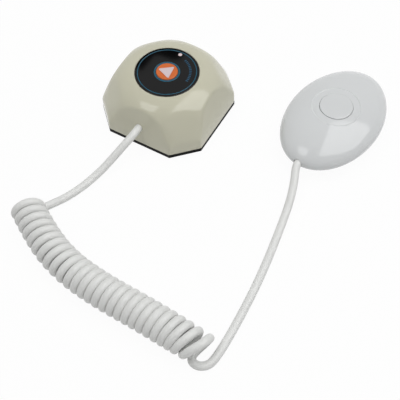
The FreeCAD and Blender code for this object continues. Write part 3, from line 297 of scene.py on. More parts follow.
def surface_group():
    """Shared look of moulded plastic: a faint cloudiness of the colour, a fine orange-peel height and
    a roughness that wanders a little about its middle, all from noise on Object coordinates."""
    group = bpy.data.node_groups.new("moulded_surface", "ShaderNodeTree")
    socket = group.interface.new_socket
    socket("Colour", in_out="INPUT", socket_type="NodeSocketColor").default_value = (0.8, 0.8, 0.8, 1)
    for name, value in (("Cloud", 0.05), ("Peel Size", 900.0), ("Roughness", 0.3), ("Wander", 0.05)):
        socket(name, in_out="INPUT", socket_type="NodeSocketFloat").default_value = value
    socket("Colour", in_out="OUTPUT", socket_type="NodeSocketColor")
    for name in ("Roughness", "Height"):
        socket(name, in_out="OUTPUT", socket_type="NodeSocketFloat")
    given = shader_node(group, "NodeGroupInput", (-1000, 0))
    result = shader_node(group, "NodeGroupOutput", (600, 0))
    place = shader_node(group, "ShaderNodeTexCoord", (-1000, -300))
    clouds = shader_node(group, "ShaderNodeTexNoise", (-700, 200), Scale=45.0, Detail=3.0)
    peel = shader_node(group, "ShaderNodeTexNoise", (-700, -100), Detail=2.0)
    smears = shader_node(group, "ShaderNodeTexNoise", (-700, -400), Scale=130.0, Detail=4.0)
    centred = shader_node(group, "ShaderNodeMath", (-450, 200), operation="SUBTRACT")
    centred.inputs[1].default_value = 0.5
    cloudy = shader_node(group, "ShaderNodeMath", (-250, 200), operation="MULTIPLY")
    bright = shader_node(group, "ShaderNodeMath", (-50, 200), operation="ADD")
    bright.inputs[1].default_value = 1.0
    tint = shader_node(group, "ShaderNodeVectorMath", (200, 200), operation="SCALE")
    middle = shader_node(group, "ShaderNodeMath", (-450, -400), operation="SUBTRACT")
    middle.inputs[1].default_value = 0.5
    spread = shader_node(group, "ShaderNodeMath", (-250, -400), operation="MULTIPLY")
    rough = shader_node(group, "ShaderNodeMath", (-50, -400), operation="ADD")
    link = group.links.new
    for noise in (clouds, peel, smears):
        link(place.outputs["Object"], noise.inputs["Vector"])
    link(given.outputs["Peel Size"], peel.inputs["Scale"])
    link(clouds.outputs["Fac"], centred.inputs[0])
    link(centred.outputs[0], cloudy.inputs[0])
    link(given.outputs["Cloud"], cloudy.inputs[1])
    link(cloudy.outputs[0], bright.inputs[0])
    link(given.outputs["Colour"], tint.inputs[0])
    link(bright.outputs[0], tint.inputs["Scale"])
    link(tint.outputs[0], result.inputs["Colour"])
    link(smears.outputs["Fac"], middle.inputs[0])
    link(middle.outputs[0], spread.inputs[0])
    link(given.outputs["Wander"], spread.inputs[1])
    link(spread.outputs[0], rough.inputs[0])
    link(given.outputs["Roughness"], rough.inputs[1])
    link(rough.outputs[0], result.inputs["Roughness"])
    link(peel.outputs["Fac"], result.inputs["Height"])
    return group


MOULDED_SURFACE = surface_group()


def moulded_plastic(name, colour, roughness, cloud=0.05, wander=0.06, peel_size=900.0, peel_depth=0.004,
                    **sockets):
    """A plastic with the shared moulded surface. Sockets are set on the shader itself."""
    material, tree, shader = principled(name)
    for socket, value in sockets.items():
        shader.inputs[socket.replace("_", " ")].default_value = value
    surface = shader_node(tree, "ShaderNodeGroup", (-600, 0), node_tree=MOULDED_SURFACE)
    for socket, value in (("Colour", (*colour, 1)), ("Cloud", cloud), ("Peel Size", peel_size),
                          ("Roughness", roughness), ("Wander", wander)):
        surface.inputs[socket].default_value = value
    bump = shader_node(tree, "ShaderNodeBump", (-300, -300), Strength=1.0, Distance=peel_depth * MM)
    link = tree.links.new
    link(surface.outputs["Colour"], shader.inputs["Base Color"])
    link(surface.outputs["Roughness"], shader.inputs["Roughness"])
    link(surface.outputs["Height"], bump.inputs["Height"])
    link(bump.outputs["Normal"], shader.inputs["Normal"])
    return material


cord_jacket = moulded_plastic("cord_jacket", CORD_COLOUR, 0.45, cloud=0.03, wander=0.01, peel_depth=0.001,
                              Specular_IOR_Level=0.35)
cord_curve.materials.append(cord_jacket)
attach(cord, "call_unit")
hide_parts("cord_base_lead", "cord_curl", "cord_pendant_lead")


# Base shell
# One ivory moulding, a dome that eight flats cut: four long and four short. Each flat stands upright
# at its foot and leans inwards above a soft bend. A ledge in the top seats the face disc, and posts
# and bosses inside take the screws.

PLATE_TOP = 2.6
# Each kind of flat: its distance from the axis, the height of its bend and its lean above that
LONG_FLAT = (31.0, 10.5, math.radians(18.2))
SHORT_FLAT = ((62.0 - 12.4) / math.sqrt(2), 11.75, math.radians(35.0))
DOME_FOOT = 39.17
DOME_LEAN = math.radians(26.9)
DOME_CROWN = 15.66
DOME_TOP = 27.85
DOME_REACH = DOME_FOOT * math.cos(DOME_LEAN) + PLATE_TOP * math.sin(DOME_LEAN)
DOME_SHOULDER = (DOME_REACH - DOME_CROWN * math.cos(DOME_LEAN) - DOME_TOP * math.sin(DOME_LEAN)) / (
    1 - math.sin(DOME_LEAN))
SHELL_WALL = 1.8
FLAT_BLEND = 0.6
BEND_BLEND = 2.5
SHELL_COLUMNS = 480
DISC_RADIUS = 17.1
DISC_TOP = DOME_TOP - 0.1
DISC_FLOOR = DISC_TOP - 2.0
POCKET_RADIUS = 17.2
POCKET_EDGE = 0.3
SEAT_OPENING = 15.8
SEAT_FLOOR = DISC_FLOOR - 1.65
SEAT_RING = 19.2
BOSS_OFFSET = 18.0
BOSS_RADIUS = 2.75
FACE_BOARD_TOP = DISC_FLOOR - 5.65
BOARD_THICKNESS = 1.6
POST_CIRCLE = 19.3
POST_RADIUS = 2.3
# The screws' holes: radius, depth
BOSS_HOLE, POST_HOLE = (1.25, 8.0), (0.95, 4.2)
CORD_HOLE_RADIUS = 2.15
IVORY = (0.575, 0.562, 0.440)


def surface(name, rings, ends="loop"):
    """A closed surface over rings[row, column] of points in mm. Every ring closes on itself. With
    "loop" the last ring meets the first, and with "poles" each end ring closes at its own middle."""
    rows, columns = rings.shape[:2]
    points = rings.reshape(-1, 3)
    row = np.arange(rows if ends == "loop" else rows - 1)[:, None]
    column = np.arange(columns)[None, :]
    following = (column + 1) % columns
    above = (row + 1) % rows * columns
    here = row * columns
    faces = np.stack([here + column, here + following, above + following, above + column], -1)
    faces = faces.reshape(-1, 4).tolist()
    if ends == "poles":
        points = np.concatenate([points, rings[0].mean(0)[None], rings[-1].mean(0)[None]])
        first, last = len(points) - 2, len(points) - 1
        top = (rows - 1) * columns
        faces += [(first, (i + 1) % columns, i) for i in range(columns)]
        faces += [(last, top + i, top + (i + 1) % columns) for i in range(columns)]
    mesh = bpy.data.meshes.new(name)
    mesh.from_pydata((points * MM).tolist(), [], faces)
    return finished(name, mesh)


def finished(name, mesh, crease=32.0):
    """Makes the mesh's object, faces outwards, smooth but for edges sharper than the crease angle."""
    mesh.calc_loop_triangles()
    triangles = np.zeros(len(mesh.loop_triangles) * 3, int)
    mesh.loop_triangles.foreach_get("vertices", triangles)
    places = np.zeros(len(mesh.vertices) * 3)
    mesh.vertices.foreach_get("co", places)
    a, b, c = places.reshape(-1, 3)[triangles.reshape(-1, 3)].transpose(1, 0, 2)
    if np.einsum("ij,ij->i", a, np.cross(b, c)).sum() < 0:
        mesh.flip_normals()
    mesh.shade_smooth()
    mesh.set_sharp_from_angle(angle=math.radians(crease))
    return placed(name, mesh)


def combined(piece, tool, operation, crease=32.0):
    """Joins tool to piece (UNION), cuts it away (DIFFERENCE) or keeps their overlap (INTERSECT)."""
    change = piece.modifiers.new("fit", "BOOLEAN")
    change.operation = operation
    change.object = tool
    change.solver = "MANIFOLD"
    mesh = bpy.data.meshes.new_from_object(piece.evaluated_get(bpy.context.evaluated_depsgraph_get()))
    piece.modifiers.clear()
    piece.data = mesh
    mesh.materials.clear()
    mesh.set_sharp_from_angle(angle=math.radians(crease))
    bpy.data.objects.remove(tool)
    return piece


def circle(radius, height, columns, middle=(0, 0)):
    angle = 2 * math.pi * np.arange(columns) / columns
    ring = np.stack([radius * np.cos(angle), radius * np.sin(angle), np.full(columns, float(height))], -1)
    return ring + np.array([middle[0], middle[1], 0])


def turned(name, outline, columns=192, middle=(0, 0)):
    """A turned piece: its outline of (radius, height) goes round the upright axis through middle. An
    outline that starts and ends on the axis closes there, and any other closes on itself."""
    on_axis = outline[0][0] == 0
    rings = np.stack([circle(radius, height, columns, middle) for radius, height in outline if radius > 0])
    return surface(name, rings, "poles" if on_axis else "loop")


def upright_pin(radius, floor, roof, middle, columns=48):
    return turned("pin", [(0, floor), (radius, floor), (radius, roof), (0, roof)], columns, middle)


def smooth_max(first, second, blend):
    """The larger of two fields, eased over the width blend where they cross."""
    ease = np.clip(1 - np.abs(first - second) / blend, 0, None)
    return np.maximum(first, second) + blend * ease ** 2 / 4


def shell_field(points):
    """How far points lie outside the dome with its flats: the dome is a leaning wall, a shoulder arc
    and a flat crown, and each flat is two planes. The fields are smooth-maxed, so edges are soft."""
    across = np.hypot(points[..., 0], points[..., 1])
    up = points[..., 2]
    out, rise = across - DOME_CROWN, up - (DOME_TOP - DOME_SHOULDER)
    wall = across * math.cos(DOME_LEAN) + up * math.sin(DOME_LEAN) - DOME_REACH
    arc = np.hypot(out, rise) - DOME_SHOULDER
    elevation = np.arctan2(rise, out)
    field = np.where(elevation < DOME_LEAN, wall, np.where(out < 0, up - DOME_TOP, arc))
    for (distance, bend, lean), turn in ((LONG_FLAT, 0.0), (SHORT_FLAT, math.pi / 4)):
        for quarter in range(4):
            heading = turn + quarter * math.pi / 2
            out = points[..., 0] * math.cos(heading) + points[..., 1] * math.sin(heading) - distance
            flat = smooth_max(out, out * math.cos(lean) + (up - bend) * math.sin(lean), BEND_BLEND)
            field = smooth_max(field, flat, FLAT_BLEND)
    return field


def shell_rings(inset, elevations):
    """Rings of the shell's form shrunk by inset. Each ray from the middle of the plate's top is
    halved again and again until its end lies on the surface."""
    heading = 2 * math.pi * np.arange(SHELL_COLUMNS) / SHELL_COLUMNS
    rise, heading = np.meshgrid(elevations, heading, indexing="ij")
    ray = np.stack([np.cos(rise) * np.cos(heading), np.cos(rise) * np.sin(heading), np.sin(rise)], -1)
    start = np.array([0, 0, PLATE_TOP])
    near, far = np.zeros(rise.shape), np.full(rise.shape, 60.0)
    for _ in range(40):
        middle = (near + far) / 2
        outside = shell_field(start + ray * middle[..., None]) + inset > 0
        far = np.where(outside, middle, far)
        near = np.where(outside, near, middle)
    return start + ray * near[..., None]


def rings_of(outline):
    return np.stack([circle(radius, height, SHELL_COLUMNS) for radius, height in outline])


rim_radius = POCKET_RADIUS + POCKET_EDGE
rim_height = DOME_TOP - 0.12
rim_elevation = math.atan2(rim_height - PLATE_TOP, rim_radius)
seat_ring_roof = DOME_TOP - DOME_SHOULDER + math.sqrt(
    (DOME_SHOULDER - SHELL_WALL) ** 2 - (SEAT_RING - DOME_CROWN) ** 2)
inner_elevation = math.atan2(seat_ring_roof - PLATE_TOP, SEAT_RING)
edge_turn = [math.pi / 2 * i / 4 for i in range(1, 5)]
rim_outline = [
    (rim_radius - POCKET_EDGE * math.sin(turn), rim_height - POCKET_EDGE * (1 - math.cos(turn)))
    for turn in edge_turn
]
rim_outline += [
    (POCKET_RADIUS, DISC_FLOOR), (SEAT_OPENING, DISC_FLOOR), (SEAT_OPENING, SEAT_FLOOR),
    (SEAT_RING, SEAT_FLOOR),
]
base_shell = surface("base_shell_skin", np.concatenate([
    shell_rings(0.0, np.linspace(0, rim_elevation, 100)),
    rings_of(rim_outline),
    shell_rings(SHELL_WALL, np.linspace(inner_elevation, 0, 40)),
]))
boss_places = [(BOSS_OFFSET * i, BOSS_OFFSET * j) for i in (1, -1) for j in (1, -1)]
post_places = [
    (POST_CIRCLE * math.cos(math.radians(angle)), POST_CIRCLE * math.sin(math.radians(angle)))
    for angle in (30, 150, 270)
]
filling_turns = np.linspace(0, math.pi / 2 - 0.01, 60)
for radius, foot, places in (
        (BOSS_RADIUS, PLATE_TOP, boss_places), (POST_RADIUS, FACE_BOARD_TOP, post_places)):
    for place in places:
        rib = upright_pin(radius, foot, DOME_TOP + 1, place)
        inside = surface("shell_filling", shell_rings(0.5 * SHELL_WALL, filling_turns), "poles")
        combined(base_shell, combined(rib, inside, "INTERSECT"), "UNION")
for (radius, depth), foot, places in (
        (BOSS_HOLE, PLATE_TOP, boss_places), (POST_HOLE, FACE_BOARD_TOP, post_places)):
    for place in places:
        combined(base_shell, upright_pin(radius, foot - 1, foot + depth, place), "DIFFERENCE")
combined(base_shell, upright_pin(POCKET_RADIUS, DISC_FLOOR, 30.0, (0, 0), SHELL_COLUMNS), "DIFFERENCE")


def lying_pin(outline, height, columns=96):
    """A turned body along Y: its outline is (distance along Y, radius)."""
    rings = [circle(radius, along, columns)[:, [0, 2, 1]] + (0, 0, height) for along, radius in outline]
    return surface("lying_pin", np.stack(rings), "poles")


cord_hole = lying_pin([(-33.0, CORD_HOLE_RADIUS), (-25.0, CORD_HOLE_RADIUS)], CORD_EXIT[2])
combined(base_shell, cord_hole, "DIFFERENCE")
ivory_plastic = moulded_plastic("ivory_plastic", IVORY, 0.08, cloud=0.04, wander=0.03)
base_shell.data.materials.append(ivory_plastic)
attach(base_shell, "call_unit")
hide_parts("base_shell")


# Bottom plate
# A flat black plate with a finely textured face and a bevel round its underside. Four screws in
# recesses hold it to the shell's bosses, and the main board stands on it.

PLATE_BLACK = (0.005, 0.005, 0.005)


def dress(material, *nodes):
    """Gives CAD nodes a material in place of the plain one they came with."""
    for name in nodes:
        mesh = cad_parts[name].data
        mesh.materials.clear()
        mesh.materials.append(material)


textured_black = moulded_plastic("textured_black", PLATE_BLACK, 0.7, cloud=0.25, peel_size=2600.0,
                                 peel_depth=0.02, Specular_IOR_Level=0.12)
dress(textured_black, "base_plate", "cord_clamp_base", "cord_clamp_bar")


# Self-tapping screws
# Zinc plated pan head screws with a cross recess: four through the bottom plate, three through the
# pendant's lower shell, and small ones for the two boards and the cord clamp.

THREAD_PITCH = 0.9
THREAD_DEPTH = 0.2
SCREW_COLUMNS = 36
SMALL_SCREW = {"head": 1.9, "head_height": 1.2, "shank": 0.9}
LARGE_SCREW = {"head": 2.3, "head_height": 1.2, "shank": 1.2}
ZINC = (0.58, 0.58, 0.57)


def screw_rings(head, head_height, shank, length):
    """Rings of one screw that points down from height 0: a domed head, then a shank whose radius is the
    thread's outside less a share of the depth that runs as a triangle wave of height and heading."""
    angle = 2 * math.pi * np.arange(SCREW_COLUMNS) / SCREW_COLUMNS
    outline = [
        (head * math.sin(turn), 0.45 * head_height + 0.55 * head_height * math.cos(turn))
        for turn in np.linspace(0.12, math.pi / 2, 9)
    ]
    outline += [(head, 0.12), (head - 0.1, 0.0), (shank, 0.0)]
    rings = [circle(radius, height, SCREW_COLUMNS) for radius, height in outline]
    for height in np.arange(-0.15, 0.9 - length, -THREAD_PITCH / 8):
        phase = (height / THREAD_PITCH + angle / (2 * math.pi)) % 1
        radius = shank - THREAD_DEPTH * (1 - np.abs(2 * phase - 1))
        rings.append(circle(radius, height, SCREW_COLUMNS))
    rings.append(circle(shank - THREAD_DEPTH, 0.8 - length, SCREW_COLUMNS))
    rings.append(circle(0.12, 0.02 - length, SCREW_COLUMNS))
    return np.stack(rings)


def cross_recess(reach, width, roof, floor):
    """A cross prism, smaller at its foot: the plus outline's twelve corners at two heights."""
    corners = []
    for quarter in range(4):
        turn = Matrix.Rotation(quarter * math.pi / 2, 2)
        corners += [turn @ Vector(point) for point in ((reach, -width), (reach, width), (width, width))]
    rings = [
        np.array([[corner.x * share, corner.y * share, height] for corner in corners])
        for share, height in ((1.0, roof), (0.55, floor))
    ]
    return surface("cross_recess", np.stack(rings), "poles")


def screws(name, node, body, places, seat, size, length, upward=False):
    """One screw with its recess, repeated at each place with its seat at the given height."""
    one = surface(name, screw_rings(size["head"], size["head_height"], size["shank"], length), "poles")
    recess = cross_recess(0.52 * size["head"], 0.13 * size["head"], size["head_height"] + 1, 0.35)
    combined(one, recess, "DIFFERENCE")
    points = np.array([vertex.co for vertex in one.data.vertices])
    faces = [tuple(face.vertices) for face in one.data.polygons]
    bpy.data.objects.remove(one)
    if upward:
        points = points * np.array([1, -1, -1])
    all_points, all_faces = [], []
    for x, y in places:
        first = sum(len(group) for group in all_points)
        all_points.append(points + np.array([x, y, seat]) * MM)
        all_faces += [tuple(index + first for index in face) for face in faces]
    mesh = bpy.data.meshes.new(name)
    mesh.from_pydata(np.concatenate(all_points).tolist(), [], all_faces)
    piece = finished(name, mesh)
    piece.data.materials.append(zinc_plate)
    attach(piece, body)
    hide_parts(node)
    return piece


def plated_metal(name, colour, roughness, brush=(60.0, 60.0, 60.0)):
    """Metal whose colour and roughness follow noise stretched along the way it was brushed or drawn."""
    material, tree, shader = principled(name)
    shader.inputs["Metallic"].default_value = 1.0
    place = shader_node(tree, "ShaderNodeTexCoord", (-1100, 0))
    stretch = shader_node(tree, "ShaderNodeMapping", (-900, 0), Scale=brush)
    grain = shader_node(tree, "ShaderNodeTexNoise", (-700, 0), Scale=12.0, Detail=5.0)
    tone = shader_node(tree, "ShaderNodeMapRange", (-450, 100), **{"To Min": 0.8, "To Max": 1.15})
    tint = shader_node(tree, "ShaderNodeVectorMath", (-250, 100), operation="SCALE")
    tint.inputs[0].default_value = colour
    rough = shader_node(tree, "ShaderNodeMapRange", (-450, -150), **{
        "To Min": roughness - 0.1, "To Max": roughness + 0.12})
    bump = shader_node(tree, "ShaderNodeBump", (-250, -350), Strength=0.6, Distance=0.01 * MM)
    link = tree.links.new
    link(place.outputs["Object"], stretch.inputs["Vector"])
    link(stretch.outputs[0], grain.inputs["Vector"])
    link(grain.outputs["Fac"], tone.inputs["Value"])
    link(tone.outputs["Result"], tint.inputs["Scale"])
    link(tint.outputs[0], shader.inputs["Base Color"])
    link(grain.outputs["Fac"], rough.inputs["Value"])
    link(rough.outputs["Result"], shader.inputs["Roughness"])
    link(grain.outputs["Fac"], bump.inputs["Height"])
    link(bump.outputs["Normal"], shader.inputs["Normal"])
    return material


zinc_plate = plated_metal("zinc_plate", ZINC, 0.32)
screws("plate_pan_screws", "plate_screws", "call_unit", boss_places, 1.3, LARGE_SCREW, 8.0, upward=True)


# Face disc
# A black disc of polished acrylic that sits flush in the dome's top. A thin blue ring is let in near
# its edge, another surrounds the key, and short blue bars are printed on its right.

KEY_HOLE = 5.95
RIM_RING = (15.3, 15.88, 0.8)
SURROUND = (7.05, 0.6)
LENS_PLACE = (0.0, 13.8)
LENS_RADIUS = 1.05
INLAY_GAP = 0.05
BAR_RADII = (11.7, 13.0)
BAR_THICKNESS = 0.03
BAR_START, BAR_STEP, BAR_WIDTH, BAR_COUNT = 68.0, 5.4, 3.2, 14
DISC_BLACK = (0.002, 0.002, 0.0024)
RING_BLUE = (0.018, 0.100, 0.158)
BAR_BLUE = (0.010, 0.060, 0.115)


def rounded(corners, steps=4):
    """An outline through (across, up, edge radius) corners. A corner with an edge radius becomes an arc
    that touches both sides, and one without stays sharp."""
    outline = []
    for index, (across, up, edge) in enumerate(corners):
        here = Vector((across, up))
        if not edge:
            outline.append((across, up))
            continue
        back = (Vector(corners[index - 1][:2]) - here).normalized()
        on = (Vector(corners[(index + 1) % len(corners)][:2]) - here).normalized()
        half = back.angle(on) / 2
        centre = here + (back + on).normalized() * edge / math.sin(half)
        first, last = here + back * edge / math.tan(half), here + on * edge / math.tan(half)
        for step in range(steps + 1):
            spoke = (first - centre).lerp(last - centre, step / steps).normalized() * edge
            outline.append(tuple(centre + spoke))
    return outline


def printed_bars():
    """Short bars round part of a circle: each bar is a ring of points up one side and down the other,
    at the print's foot and top."""
    points, faces = [], []
    spread = np.radians(np.linspace(-BAR_WIDTH / 2, BAR_WIDTH / 2, 5))
    for bar in range(BAR_COUNT):
        heading = math.radians(BAR_START - bar * BAR_STEP)
        angle = np.concatenate([heading + spread, heading + spread[::-1]])
        radius = np.repeat([BAR_RADII[1], BAR_RADII[0]], 5)
        for height in (DISC_TOP - 0.02, DISC_TOP + BAR_THICKNESS):
            ring = [radius * np.cos(angle), radius * np.sin(angle), np.full(10, height)]
            points += np.stack(ring, -1).tolist()
        first = bar * 20
        faces.append(tuple(range(first + 9, first - 1, -1)))
        faces.append(tuple(range(first + 10, first + 20)))
        for i in range(10):
            after = (i + 1) % 10
            faces.append((first + i, first + after, first + 10 + after, first + 10 + i))
    mesh = bpy.data.meshes.new("printed_bars")
    mesh.from_pydata([tuple(value * MM for value in point) for point in points], [], faces)
    return finished("printed_bars", mesh)


face_disc = turned("face_disc_body", rounded([
    (KEY_HOLE, DISC_FLOOR, 0), (DISC_RADIUS, DISC_FLOOR, 0.15), (DISC_RADIUS, DISC_TOP, 0.25),
    (DISC_RADIUS - 0.35, DISC_TOP, 0), (RIM_RING[1] + 0.1, DISC_TOP, 0),
    (RIM_RING[1], DISC_TOP, 0.04), (RIM_RING[1], DISC_TOP - RIM_RING[2], 0),
    (RIM_RING[0], DISC_TOP - RIM_RING[2], 0), (RIM_RING[0], DISC_TOP, 0.04),
    (RIM_RING[0] - 0.1, DISC_TOP, 0), (SURROUND[0] + 0.1, DISC_TOP, 0), (SURROUND[0], DISC_TOP, 0.04),
    (SURROUND[0], DISC_TOP - SURROUND[1], 0), (KEY_HOLE, DISC_TOP - SURROUND[1], 0),
]), 256)
lens_hole = upright_pin(LENS_RADIUS + INLAY_GAP, DISC_FLOOR - 1, DISC_TOP + 1, LENS_PLACE)
combined(face_disc, lens_hole, "DIFFERENCE")
polished_black = moulded_plastic("polished_black", DISC_BLACK, 0.05, cloud=0.1, wander=0.02,
                                 peel_depth=0.0005, Coat_Weight=0.25, Coat_Roughness=0.03)
face_disc.data.materials.append(polished_black)
rim_ring = turned("rim_ring", rounded([
    (RIM_RING[0] + INLAY_GAP, DISC_TOP - RIM_RING[2], 0),
    (RIM_RING[1] - INLAY_GAP, DISC_TOP - RIM_RING[2], 0),
    (RIM_RING[1] - INLAY_GAP, DISC_TOP, 0.1), (RIM_RING[0] + INLAY_GAP, DISC_TOP, 0.1),
]), 256)
surround = turned("key_ring", rounded([
    (KEY_HOLE, DISC_TOP - SURROUND[1], 0), (SURROUND[0] - INLAY_GAP, DISC_TOP - SURROUND[1], 0),
    (SURROUND[0] - INLAY_GAP, DISC_TOP + 0.05, 0.12), (KEY_HOLE, DISC_TOP + 0.05, 0.12),
]), 192)
blue_acrylic = moulded_plastic("blue_acrylic", RING_BLUE, 0.18, cloud=0.15, peel_depth=0.002)
blue_print = moulded_plastic("blue_print", BAR_BLUE, 0.35, cloud=0.3, peel_size=4000.0, peel_depth=0.003)
bars = printed_bars()
bars.data.materials.append(blue_print)
for piece in (rim_ring, surround):
    piece.data.materials.append(blue_acrylic)
for piece, node, slot in ((face_disc, "face_disc", "disc_black"), (rim_ring, "rim_light_ring", "ring_blue"),
                          (surround, "key_surround", "ring_blue"), (bars, None, "ring_blue")):
    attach(piece, "call_unit")
    if node:
        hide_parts(node)


# Status lens
# A small light pipe of milky acrylic. Its collar sits under the disc over a light source on the face
# board, and its domed end shows through the disc.

LENS_FLOOR = FACE_BOARD_TOP + 1.2
LENS_COLLAR = 1.5
LENS_MILK = (0.72, 0.59, 0.60)

lens = turned("light_pipe", rounded([
    (0, LENS_FLOOR, 0), (LENS_COLLAR, LENS_FLOOR, 0.1), (LENS_COLLAR, DISC_FLOOR, 0),
    (LENS_RADIUS, DISC_FLOOR, 0),
    (LENS_RADIUS, DISC_TOP + 0.12, 0.12), (0.55 * LENS_RADIUS, DISC_TOP + 0.16, 0), (0, DISC_TOP + 0.17, 0),
]), 64, LENS_PLACE)
milky_acrylic = moulded_plastic("milky_acrylic", LENS_MILK, 0.22, cloud=0.06, peel_depth=0.002,
                                Subsurface_Weight=0.2, Subsurface_Radius=(0.0008, 0.0006, 0.0006))
lens.data.materials.append(milky_acrylic)
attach(lens, "call_unit")
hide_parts("status_lens")


# Call key
# An orange moulded key, slightly dished for the fingertip, with a flange that keeps it under the disc.
# A pale inlay with soft corners is pressed into a pocket in its top.

KEY_RADIUS = 5.75
KEY_TOP = DISC_TOP + 0.4
KEY_DISH = 0.12
KEY_FLANGE = (7.2, DISC_FLOOR - 1.55, DISC_FLOOR - 0.35)
ICON_TURN = math.radians(37.8)
# Three corners on a circle of 5.1 mm, each with the radius that rounds it off
ICON_CORNERS = [(0.0, -5.1, 0.5), (4.42, 2.55, 0.5), (-4.42, 2.55, 0.5)]
ICON_FLOOR = KEY_TOP - 0.25
ORANGE = (0.64, 0.140, 0.026)
ICON_PALE = (0.66, 0.55, 0.57)


def icon_form(name, grow, levels):
    """The inlay's outline pushed out by grow, then its rings at (height, share of full size) levels."""
    outline = np.array(rounded(ICON_CORNERS, 5))
    middle = outline.mean(0)
    reach = np.linalg.norm(outline - middle, axis=1, keepdims=True)
    outline = middle + (outline - middle) * (reach + grow) / reach
    turn = np.array([[math.cos(ICON_TURN), math.sin(ICON_TURN)], [-math.sin(ICON_TURN), math.cos(ICON_TURN)]])
    rings = [
        np.column_stack([(middle + (outline - middle) * share) @ turn, np.full(len(outline), height)])
        for height, share in levels
    ]
    return surface(name, np.stack(rings), "poles")


key = turned("key_cap", rounded([
    (0, KEY_FLANGE[1], 0), (KEY_FLANGE[0], KEY_FLANGE[1], 0.15), (KEY_FLANGE[0], KEY_FLANGE[2], 0.15),
    (KEY_RADIUS, KEY_FLANGE[2], 0.1), (KEY_RADIUS, KEY_TOP, 0.35),
    (0.8 * KEY_RADIUS, KEY_TOP - 0.3 * KEY_DISH, 0),
    (0.6 * KEY_RADIUS, KEY_TOP - 0.65 * KEY_DISH, 0), (0.3 * KEY_RADIUS, KEY_TOP - 0.95 * KEY_DISH, 0),
    (0, KEY_TOP - KEY_DISH, 0),
]), 192)
combined(key, icon_form("pocket", 0.06, [(ICON_FLOOR, 1.0), (KEY_TOP + 1, 1.0)]), "DIFFERENCE")
icon = icon_form("key_inlay", 0.0, [
    (ICON_FLOOR, 1.0), (KEY_TOP - 0.08, 1.0), (KEY_TOP - 0.01, 0.985), (KEY_TOP + 0.01, 0.95), (KEY_TOP, 0.7),
    (KEY_TOP - 0.02, 0.4), (KEY_TOP - 0.03, 0.1),
])
key.data.materials.append(moulded_plastic("orange_plastic", ORANGE, 0.28, cloud=0.08, peel_depth=0.003))
icon.data.materials.append(moulded_plastic("pale_inlay", ICON_PALE, 0.25, cloud=0.06, peel_depth=0.002))
for piece, node, slot in ((key, "call_key", "key_orange"), (icon, "key_icon", "inlay_white")):
    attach(piece, "call_key_body")
    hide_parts(node)


# Circuit boards and what stands on them
# Two green glass fibre boards in the base unit and one in the pendant. The face board carries the
# key's switch and the light sources, the main board the cell, the radio, the sounder and the plug.

BOARD_GREEN = (0.012, 0.115, 0.045)
TRACE_GREEN = (0.03, 0.22, 0.08)
PAD_GOLD = (0.75, 0.55, 0.22)


def circuit_board(name):
    """Green board: conductor runs are the edges between square cells and solder pads are the cells'
    middles, both from Object coordinates, and the pads are metal."""
    material, tree, shader = principled(name)
    shader.inputs["Coat Weight"].default_value = 0.3
    place = shader_node(tree, "ShaderNodeTexCoord", (-1300, 0))
    runs = shader_node(tree, "ShaderNodeTexVoronoi", (-1000, 200), feature="DISTANCE_TO_EDGE", Scale=420.0,
                       Randomness=0.75)
    pads = shader_node(tree, "ShaderNodeTexVoronoi", (-1000, -200), feature="F1",
                       distance="CHEBYCHEV", Scale=300.0, Randomness=0.6)
    run_mask = shader_node(tree, "ShaderNodeMapRange", (-750, 200), **{
        "From Min": 0.04, "From Max": 0.08, "To Min": 1.0, "To Max": 0.0})
    pad_mask = shader_node(tree, "ShaderNodeMapRange", (-750, -200), **{
        "From Min": 0.14, "From Max": 0.17, "To Min": 1.0, "To Max": 0.0})
    green = shader_node(tree, "ShaderNodeMix", (-500, 200), data_type="RGBA")
    whole = shader_node(tree, "ShaderNodeMix", (-250, 100), data_type="RGBA")
    green.inputs["A"].default_value = (*BOARD_GREEN, 1)
    green.inputs["B"].default_value = (*TRACE_GREEN, 1)
    whole.inputs["B"].default_value = (*PAD_GOLD, 1)
    rough = shader_node(tree, "ShaderNodeMapRange", (-500, -200), **{"To Min": 0.38, "To Max": 0.25})
    bump = shader_node(tree, "ShaderNodeBump", (-250, -350), Strength=0.8, Distance=0.03 * MM)
    link = tree.links.new
    link(place.outputs["Object"], runs.inputs["Vector"])
    link(place.outputs["Object"], pads.inputs["Vector"])
    link(runs.outputs["Distance"], run_mask.inputs["Value"])
    link(pads.outputs["Distance"], pad_mask.inputs["Value"])
    link(run_mask.outputs["Result"], green.inputs["Factor"])
    link(green.outputs["Result"], whole.inputs["A"])
    link(pad_mask.outputs["Result"], whole.inputs["Factor"])
    link(whole.outputs["Result"], shader.inputs["Base Color"])
    link(pad_mask.outputs["Result"], shader.inputs["Metallic"])
    link(pad_mask.outputs["Result"], rough.inputs["Value"])
    link(rough.outputs["Result"], shader.inputs["Roughness"])
    link(run_mask.outputs["Result"], bump.inputs["Height"])
    link(bump.outputs["Normal"], shader.inputs["Normal"])
    return material


